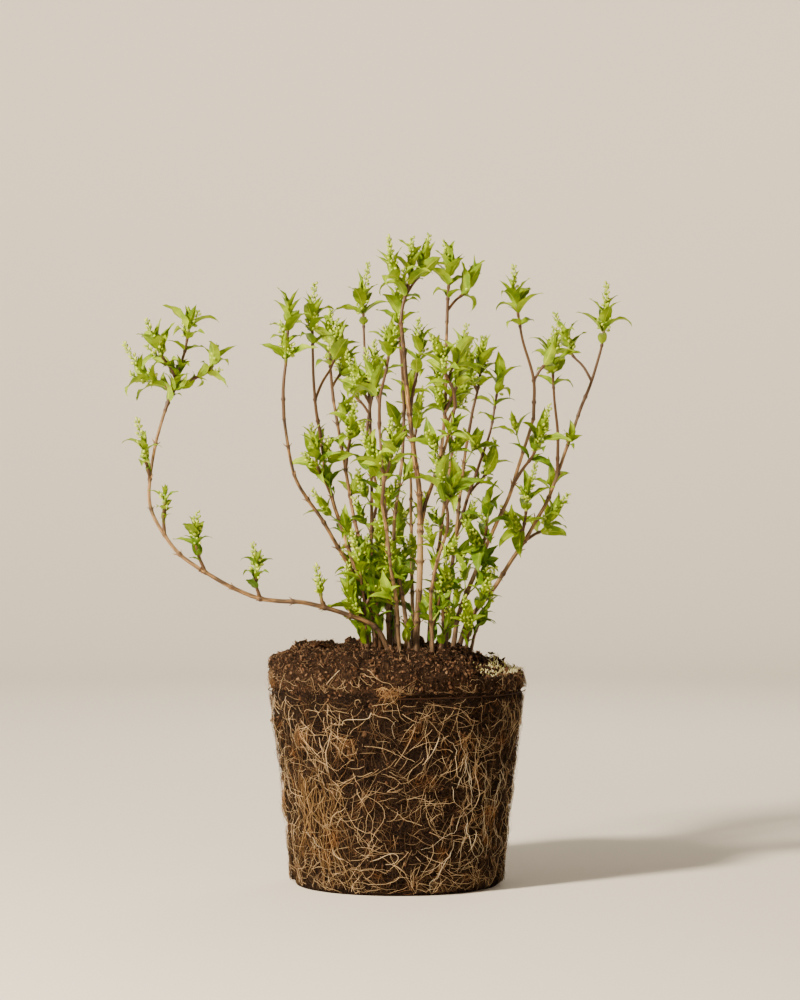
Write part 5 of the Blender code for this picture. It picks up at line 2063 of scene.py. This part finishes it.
# Greens of the leaves: besides the leaves' own age, the lighter ones paint the light at the top of the
# clump and the deeper ones paint the shade low down and inside it
LEAF_FINISHES = {
    Tone.YOUNG: LeafFinish("Young_spring_leaf", "#5A7E04", "#9AB40A", "#B0C236"),
    Tone.MID: LeafFinish("Spring_leaf", "#567806", "#92AE0E", "#A2B630"),
    Tone.DEEP: LeafFinish("Grown_leaf", "#466C08", "#70900E", "#889E2C"),
    Tone.COOL: LeafFinish("Shaded_leaf", "#385A14", "#5A801C", "#748E34"),
}


# Canes whose side shoots have leaves right down to the cane, and canes with bare nodes
LEAFY_CANES = ("arching_cane_run", "arching_cane_rise")
BARE_CANES = (*LEAFY_CANES, "main_stem", "main_stem_left", "left_cane")

# How far below a shoot's tip its bare nodes are
BARE_DROPS = (0.062, 0.078, 0.095, 0.113, 0.132, 0.150)

# Leafy sprouts from the soil: foot (x, y) and tip (x, y, z), in millimetres
SPROUTS = ((-22, -12, -35, -16, 222), (-12, -14, -17, -21, 230), (-25, 4, -33, 2, 210),
           (-16, 8, -21, 7, 238), (6, -40, 9, -46, 188), (31, -38, 36, -44, 194),
           (54, -6, 67, -10, 204), (-2, 44, -6, 54, 206), (36, 34, 44, 44, 206))


@dataclass
class Foliage:
    """Shoots, leaves in crossed pairs and spikes of round buds, grown by the solids' rule and
    carried on to small leaves, side spikes and the tufts at the canes' nodes.
    """

    canes: Canes
    shoot_sides: int = 7
    shoot_step: float = 1.6 * MM
    shoot_node_swell: float = 0.50
    shoot_drawn: float = 1.38
    stalk_r: Place = (0.45 * MM, 0.28 * MM)
    bud_gap: float = 1.05 * MM
    bud_r: Place = (1.34 * MM, 1.10 * MM)
    bud_out: float = 1.2 * MM
    spike_longer: float = 1.24
    side_spike_share: float = 0.46
    side_leaf_share: float = 0.55
    low_pair_gap: float = 7.0 * MM
    tuft_share: float = 0.66
    outer_share: float = 0.36
    inner_r: float = 0.062
    tuft_band: Place = (0.192, 0.372)
    space: Space = field(default_factory=Space)
    shoots: Paths = field(default_factory=Paths)
    stalks: Paths = field(default_factory=Paths)
    buds: Places = field(default_factory=Places)
    leaves: dict[Tone, Places] = field(default_factory=lambda: {tone: Places() for tone in Tone})

    def tone(self, root: Vector, rule: random.Random) -> int:
        """Deal a spray its green: lighter at the top as painted light, deeper low down and inside the clump
        as painted shade.

        Args:
            root: the spray's place.
            rule: the spray's random rule.

        Returns:
            The number of the tone.
        """
        low = (0.455 - root.z) / 0.29
        outer = min(1.0, root.xy.length / 0.15)
        return round(low * 2.2 - outer * 0.5 + rule.uniform(-0.6, 0.6))

    def put_leaf(self, leaf: Leaf, tone: int, forms: tuple[int, ...], rule: random.Random) -> None:
        """Set a leaf of one of some forms, in one of the greens."""
        chosen = list(Tone)[max(0, min(len(Tone) - 1, tone))]
        length = leaf.length * LEAF_SHOWN
        size = (length, length * rule.uniform(0.88, 1.15), length)
        self.leaves[chosen].put(wander(leaf.root), leaf.heading, leaf.upper, size, rule.choice(forms))

    def put_spike(self, root: Vector, heading: Vector, length: float, rule: random.Random,
                  bare: float = 0.0) -> None:
        """Set a spike: a thin stalk with round buds in a spiral.

        Args:
            root: where the stalk starts.
            heading: where it points.
            length: how long it is with its buds.
            rule: the spray's random rule.
            bare: how much of its length has no buds.
        """
        root = wander(root)
        end = root + (heading + UP * 0.25).normalized() * length
        route = Route((root, end), self.stalk_r, heading, UP + heading, 6)
        self.stalks.lay(route.points, route.radius_at_points(), [0.9] * len(route.points))
        budded = length * (1 - bare)
        count = round(budded / self.bud_gap)
        turn = rule.uniform(0, math.tau)
        for n in range(count):
            share = (n + 0.5) / count
            point, way, _ = route.at(bare + (1 - bare) * share)
            turn += GOLDEN_TURN
            side = way.orthogonal().normalized()
            out = side * math.cos(turn) + way.cross(side) * math.sin(turn)
            radius = self.bud_r[0] + (self.bud_r[1] - self.bud_r[0]) * share
            radius *= rule.uniform(0.82, 1.12)
            pointing = (out + way * (0.45 + share)).normalized()
            place = point + out * rule.uniform(0, self.bud_out) * (1 - 0.6 * share) - way * radius * 0.6
            self.buds.put(place, pointing, way, (radius * 0.9, radius, radius))

    def lay_shoot(self, shoot: Route, start: Vector, pairs: int) -> None:
        """Add a shoot's path, brown at its foot and green at its tip, swollen at its pairs.

        Args:
            shoot: the shoot.
            start: where it runs out of, inside its carrier.
            pairs: how many pairs of leaves it has.
        """
        points = shoot.fine(self.shoot_step)
        length = shoot.lengths()[-1]
        radii, tones, knots = [], [], []
        for n, point in enumerate(points):
            share = n / (len(points) - 1)
            radius = shoot.radii[0] + (shoot.radii[1] - shoot.radii[0]) * share
            left = (1 - share) * length
            knot = max(math.exp(-((left - drop) / MM) ** 2) for drop in (*PAIR_DROPS[:pairs], *BARE_DROPS))
            radii.append(radius * self.shoot_drawn * (1 + self.shoot_node_swell * knot))
            tones.append(max(0.0, min(1.0, 1.12 - left / SHOOT_GREEN)))
            knots.append(0.6 * knot * (1 - tones[-1]))
        points = [wander(p) for p in [start, *points]]
        self.shoots.lay(points, [radii[0], *radii], [tones[0], *tones], [0.0, *knots])

    def grow_mass(self, mass: Mass, shoots: list[Route], forms: tuple[Solid, Solid]) -> None:
        """Grow a mass by the solids' rule and carry it on.

        Args:
            mass: the mass.
            shoots: its shoots' routes.
            forms: the solids' leaf and spike.
        """
        rule, more = random.Random(mass.name), random.Random(mass.name + " more")
        leaf_form, spike_form = forms
        spray = self.tone(Vector(mass.tips[0]), more)
        for order, shoot in enumerate(shoots):
            run = shoot.lengths()[-1]
            first_turn = rule.uniform(0, math.pi)
            has_spike = rule.random() < SPIKE_SHARE
            lean = Vector([rule.uniform(-SPIKE_LEAN, SPIKE_LEAN) for _ in range(3)])
            spike_length = rule.uniform(*SPIKE_LENGTHS)
            for pair in range(mass.pairs - min(order, 1)):
                turn = first_turn + PAIR_QUARTER_TURN * pair
                turn += rule.uniform(-PAIR_TURN_JITTER, PAIR_TURN_JITTER)
                for half in (0, math.pi):
                    size = LEAF_LENGTH * mass.leaf * PAIR_SIZES[pair] * rule.uniform(*LEAF_SIZE_RANGE)
                    spread = math.radians(PAIR_SPREADS[pair])
                    spread += rule.uniform(-LEAF_SPREAD_JITTER, LEAF_SPREAD_JITTER)
                    if PAIR_DROPS[pair] > run * LOWEST_PAIR:
                        continue
                    for more_turn, share in SECOND_TRIES:
                        leaf = leaf_on(shoot, PAIR_DROPS[pair], turn + half + more_turn, spread,
                                       size * share)
                        if self.space.is_free(mass.name, leaf.solid(leaf_form, CLEARANCE)):
                            self.space.take(mass.name, leaf.solid(leaf_form))
                            self.carry_on(mass, shoot, leaf, pair, spray, more)
                            break
            tip, heading, _ = shoot.at(1.0)
            if has_spike:
                way = (heading + lean).normalized()
                spike = Spike(tip - way * SPIKE_ROOT, way, spike_length * mass.leaf + SPIKE_ROOT)
                if self.space.is_free(mass.name, spike.solid(spike_form, CLEARANCE)):
                    self.space.take(mass.name, spike.solid(spike_form))
                    length = spike.length * self.spike_longer
                    self.put_spike(spike.root, spike.heading, length, more, bare=0.1)
            for n in range(4):
                ear = n < 2
                turn = first_turn + math.pi * n + PAIR_QUARTER_TURN * (n // 2)
                spread = math.radians(more.uniform(10, 32) if ear else more.uniform(30, 60))
                share = more.uniform(0.62, 0.98) if ear else more.uniform(0.28, 0.55)
                size = LEAF_LENGTH * mass.leaf * share * (0.6 if mass.on in LEAFY_CANES else 1.0)
                small = leaf_on(shoot, MM * (0.8 + 0.4 * n), turn + 0.4, spread, size)
                self.put_leaf(small, spray - 1, YOUNG_FORMS, more)
            if mass.foot or mass.on in LEAFY_CANES:
                self.low_pairs(mass, shoot, spray, more)

    def low_pairs(self, mass: Mass, shoot: Route, spray: int, more: random.Random) -> None:
        """Set small, steep pairs of leaves down to the foot of a side shoot.

        Args:
            mass: the shoot's mass.
            shoot: the shoot.
            spray: the spray's green.
            more: the random rule for what the solids don't have.
        """
        run = shoot.lengths()[-1]
        drop = min(run * LOWEST_PAIR, PAIR_DROPS[mass.pairs - 1])
        drop += self.low_pair_gap if mass.foot else 0.5 * self.low_pair_gap
        turn = more.uniform(0, math.pi)
        while drop < run:
            for half in (0, math.pi):
                size = LEAF_LENGTH * mass.leaf * more.uniform(0.50, 0.95)
                spread = math.radians(more.uniform(16, 42))
                # Low pairs are a green deeper: painted shade under the leaves above them
                self.put_leaf(leaf_on(shoot, drop, turn + half, spread, size), spray + 1, GROWN_FORMS, more)
            turn += PAIR_QUARTER_TURN
            drop += self.low_pair_gap if mass.foot else 0.6 * self.low_pair_gap

    def carry_on(self, mass: Mass, shoot: Route, leaf: Leaf, pair: int, spray: int,
                 more: random.Random) -> None:
        """Show a leaf of the solids, with what grows in its axil.

        Args:
            mass: its mass.
            shoot: the shoot that carries it.
            leaf: the leaf.
            pair: its pair, counted from the tip.
            spray: the spray's green.
            more: the random rule for what the solids don't have.
        """
        # The tip pair is a green lighter, as young leaves; lower pairs are at times a green deeper, partly
        # older and partly painted shade under the pairs above
        shift = -1 if pair == 0 else int(pair > 2 and more.random() < 0.5)
        if more.random() < 0.18:
            shift += more.choice((-1, 1))
        forms = YOUNG_FORMS if pair == 0 else GROWN_FORMS
        self.put_leaf(leaf, spray + shift, forms, more)
        heading = shoot.at(1 - PAIR_DROPS[pair] / shoot.lengths()[-1])[1]
        upward = (heading * 1.3 + leaf.heading).normalized()
        if pair > 0 and more.random() < self.side_leaf_share:
            across = leaf.heading.cross(heading).normalized() * more.uniform(-0.7, 0.7)
            way = (upward + across).normalized()
            upper = (heading - way * heading.dot(way)).normalized()
            small = Leaf(leaf.root, way, upper, leaf.length * more.uniform(0.34, 0.56))
            self.put_leaf(small, spray + shift - 1, YOUNG_FORMS, more)
        if pair in (1, 2) and more.random() < self.side_spike_share:
            length = more.uniform(10, 17) * MM * mass.leaf
            self.put_spike(leaf.root, upward, length, more, bare=0.25)

    def tuft(self, root: Vector, heading: Vector, out: Vector, rule: random.Random) -> None:
        """Grow a short side shoot with small leaves, and at times a spike, from a cane's node.

        Args:
            root: the node's place.
            heading: the cane's heading there.
            out: the side on which it grows.
            rule: the cane's random rule.
        """
        way = (heading * 1.2 + out).normalized()
        length = rule.uniform(3, 13) * MM
        tip = root + way * length + UP * length * 0.3
        shoot = Route((root, tip), (0.6 * MM, 0.45 * MM), way, way + UP, 4)
        points = [wander(p) for p in shoot.points]
        self.shoots.lay(points, shoot.radius_at_points(), [0.75] * len(points))
        spray = self.tone(root, rule)
        turn = rule.uniform(0, math.pi)
        size = LEAF_LENGTH * rule.uniform(0.52, 0.90)
        for pair in range(rule.choice((2, 2, 3, 3))):
            for half in (0, math.pi):
                spread = math.radians(30 + 16 * pair + rule.uniform(-9, 9))
                leaf = leaf_on(shoot, (0.5 + 2.5 * pair) * MM, turn + half, spread,
                               size * rule.uniform(0.8, 1.15))
                self.put_leaf(leaf, spray, YOUNG_FORMS if pair == 0 else GROWN_FORMS, rule)
            turn += PAIR_QUARTER_TURN
        if rule.random() < 0.6:
            self.put_spike(shoot.points[-1], way + UP * 0.4, rule.uniform(10, 19) * MM, rule)

    def sprout(self, foot: Vector, tip: Vector, rule: random.Random) -> None:
        """Grow a leafy sprout from the soil.

        Args:
            foot: its foot.
            tip: its tip.
            rule: the sprouts' random rule.
        """
        shoot = Route((foot, tip), (SHOOT_R, SHOOT_TIP_R), UP, tip - foot, SHOOT_STEPS)
        self.lay_shoot(shoot, foot - UP * self.canes.buried, 4)
        run = shoot.lengths()[-1]
        spray = self.tone(tip, rule)
        turn = rule.uniform(0, math.pi)
        drop, grown = MM, 0.55
        while drop < run - 3 * MM:
            for half in (0, math.pi):
                spread = math.radians(rule.uniform(14, 34) + 14 * grown)
                size = LEAF_LENGTH * grown * rule.uniform(0.62, 1.0)
                forms = YOUNG_FORMS if grown < 0.7 else GROWN_FORMS
                self.put_leaf(leaf_on(shoot, drop, turn + half, spread, size), spray, forms, rule)
            turn += PAIR_QUARTER_TURN + rule.uniform(-0.2, 0.2)
            drop += self.low_pair_gap * (0.5 + 0.6 * grown)
            grown = min(1.0, grown + 0.12)
        if rule.random() < 0.4:
            self.put_spike(tip, tip - foot, rule.uniform(10, 16) * MM, rule, bare=0.1)

    def lay_sprouts(self) -> None:
        """Grow the leafy sprouts round the canes' feet."""
        rule = random.Random("sprouts")
        for x, y, tip_x, tip_y, tip_z in SPROUTS:
            self.sprout(Vector((x, y, SOIL_Z / MM)) * MM, Vector((tip_x, tip_y, tip_z)) * MM, rule)

    def lay_tufts(self) -> None:
        """Grow tufts at the canes' nodes inside the clump."""
        for name, nodes in self.canes.node_places.items():
            if name in BARE_CANES:
                continue
            rule = random.Random(name + " tufts")
            for share in nodes[:-1]:
                point, heading, radius = self.canes.routes[name].at(share)
                side = heading.orthogonal().normalized()
                first = rule.uniform(0, math.pi)
                for half in (0, math.pi):
                    turn = first + half
                    out = side * math.cos(turn) + heading.cross(side) * math.sin(turn)
                    inside = self.tuft_band[0] < point.z < self.tuft_band[1]
                    share_here = self.tuft_share if point.xy.length < self.inner_r else self.outer_share
                    if rule.random() < share_here and inside:
                        self.tuft(point + out * radius * 0.5, heading, out, rule)

    def grow_all(self) -> None:
        """Grow every mass and tuft."""
        limbs = self.canes.routes
        for name, route in limbs.items():
            self.space.take(name, tube(route.points, route.radius_at_points(), LIMB_SIDES))
        shoots = {mass.name: shoot_routes(mass, limbs) for mass in MASSES}
        for name, routes in shoots.items():
            for route in routes:
                self.space.take(name, tube(route.points, route.radius_at_points(), SHOOT_SIDES))
        forms = (unit_ball(4, 2), unit_ball(SPIKE_SIDES, SPIKE_RINGS))
        for mass in MASSES:
            routes = shoots[mass.name]
            if mass.foot:
                start = routes[0].points[0] - UP * self.canes.buried
            else:
                start = limbs[mass.on].at(mass.at)[0]
            self.lay_shoot(routes[0], start, mass.pairs)
            for side in routes[1:]:
                way = (side.points[1] - side.points[0]).normalized()
                self.lay_shoot(side, side.points[0] - way * 0.5 * MM, mass.pairs - 1)
            self.grow_mass(mass, routes, forms)
        self.lay_tufts()
        self.lay_sprouts()

    def build(self, tubes: bpy.types.NodeTree, placing: bpy.types.NodeTree) -> None:
        """Build the foliage's pieces.

        Args:
            tubes: the tree that makes tubes.
            placing: the tree that sets forms on points.
        """
        self.grow_all()
        names = [mass.name for mass in MASSES]
        smooth = {"Relief": 0.0, "Relief Grain": (MM, MM, MM)}
        made = grow("shoots", self.shoots.mesh("shoot_paths"), tubes, {
            "Sides": self.shoot_sides, "Finish": ShootFinish().make(), **smooth})
        finish_piece(made, names)
        bud_finish = BudFinish().make()
        made = grow("spike_stalks", self.stalks.mesh("stalk_paths"), tubes, {
            "Sides": 5, "Finish": ShootFinish("Green_spike_stalk").make(), **smooth})
        finish_piece(made, names)
        forms = form_collection("bud", [bud_mesh("bud", 6, 0.1, 1.1)])
        made = grow("flower_buds", self.buds.mesh("bud_places"), placing, {
            "Forms": forms, "Finish": bud_finish})
        finish_piece(made, names)
        forms = form_collection("leaf", [form.mesh(f"leaf_{n}") for n, form in enumerate(LEAF_FORMS)])
        for tone, places in self.leaves.items():
            made = grow("leaves_" + tone.value, places.mesh("leaf_places"), placing, {
                "Forms": forms, "Finish": LEAF_FINISHES[tone].make()})
            finish_piece(made, names)
            LOG.info("%d leaves", len(places.roots))


@dataclass(frozen=True)
class Lamp:
    """A soft studio lamp: where it stands, what it lights, how large and how strong it is."""

    name: str
    place: Place
    aim: Place
    size: float
    watts: float
    colour: str = "#FFFFFF"

    def build(self) -> None:
        """Add the lamp."""
        light = bpy.data.lights.new(self.name, "AREA")
        light.shape = "DISK"
        light.size = self.size
        light.energy = self.watts
        light.color = linear(self.colour)[:3]
        made = bpy.data.objects.new(self.name, light)
        bpy.context.scene.collection.objects.link(made)
        made.location = self.place
        made.rotation_euler = (Vector(self.aim) - Vector(self.place)).to_track_quat("-Z", "Y").to_euler()


@dataclass
class Studio:
    """A round sweep of pale paper, soft lamps and a camera at the photograph's angle."""

    sweep_r: float = 3.1
    cove: float = 0.9
    wall_height: float = 1.3
    floor_rings: Place = (0.3, 1.2, 2.1)
    cove_steps: int = 16
    sweep_sides: int = 128
    eye: Place = (0.0022, -2.300, 0.311)
    pitch: float = -0.80
    lens: float = 113.7
    world: str = "#F1ECE4"
    world_strength: float = 0.05
    lamps: tuple[Lamp, ...] = (
        Lamp("key", (-1.58, -1.50, 1.56), (0.0, 0.0, -0.5), 0.35, 193.0, "#FFEFD6"),
        Lamp("fill", (1.70, -1.30, 1.10), (0.0, 0.0, 0.22), 1.1, 2.6, "#F4F2FF"),
        Lamp("rim", (0.55, 1.35, 1.25), (0.0, 0.0, 0.28), 0.9, 7.0, "#FFF6E6"),
        Lamp("wall", (0.0, 1.10, 1.90), (0.0, 3.0, 0.5), 1.2, 30.0, "#FFF3E2"),
    )

    def sweep(self) -> bpy.types.Object:
        """Build the paper: a round floor that curves up to a wall all round."""
        profile = [(radius, 0.0) for radius in self.floor_rings]
        for n in range(self.cove_steps + 1):
            angle = math.pi / 2 * n / self.cove_steps
            profile.append((self.sweep_r - self.cove * (1 - math.sin(angle)),
                            self.cove * (1 - math.cos(angle))))
        profile.append((self.sweep_r, self.wall_height))
        turns = [math.tau * k / self.sweep_sides for k in range(self.sweep_sides)]
        places = [(r * math.cos(t), r * math.sin(t), z) for r, z in profile for t in turns]
        faces = [tuple(range(self.sweep_sides))]
        for ring in range(0, len(places) - self.sweep_sides, self.sweep_sides):
            for k in range(self.sweep_sides):
                after = (k + 1) % self.sweep_sides
                faces.append((ring + k, ring + self.sweep_sides + k,
                              ring + self.sweep_sides + after, ring + after))
        mesh = bpy.data.meshes.new("paper_sweep")
        mesh.from_pydata(places, [], faces)
        mesh.shade_smooth()
        mesh.materials.append(PaperFinish().make())
        made = bpy.data.objects.new("paper_sweep", mesh)
        bpy.context.scene.collection.objects.link(made)
        return made

    def build(self) -> None:
        """Set up the studio."""
        self.sweep()
        for lamp in self.lamps:
            lamp.build()
        world = bpy.data.worlds.new("Pale_room")
        world.use_nodes = True
        background = world.node_tree.nodes["Background"]
        background.inputs["Color"].default_value = linear(self.world)
        background.inputs["Strength"].default_value = self.world_strength
        bpy.context.scene.world = world
        camera = bpy.data.cameras.new("camera")
        camera.lens = self.lens
        made = bpy.data.objects.new("camera", camera)
        bpy.context.scene.collection.objects.link(made)
        made.location = self.eye
        made.rotation_euler = (math.radians(90 + self.pitch), 0, 0)
        bpy.context.scene.camera = made


def main() -> None:
    """Build the studio and the plant, piece by piece."""
    logging.basicConfig(level=logging.INFO, format="%(name)s: %(message)s")
    noise.seed_set(WANDER_SEED)
    Studio().build()
    tubes, placing, strewing = tube_tree(), placing_tree(), scatter_tree()
    RootBall().build(tubes, strewing, placing)
    canes = Canes()
    canes.build(tubes, placing)
    Foliage(canes).build(tubes, placing)
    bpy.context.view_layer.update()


if __name__ == "__main__":
    main()
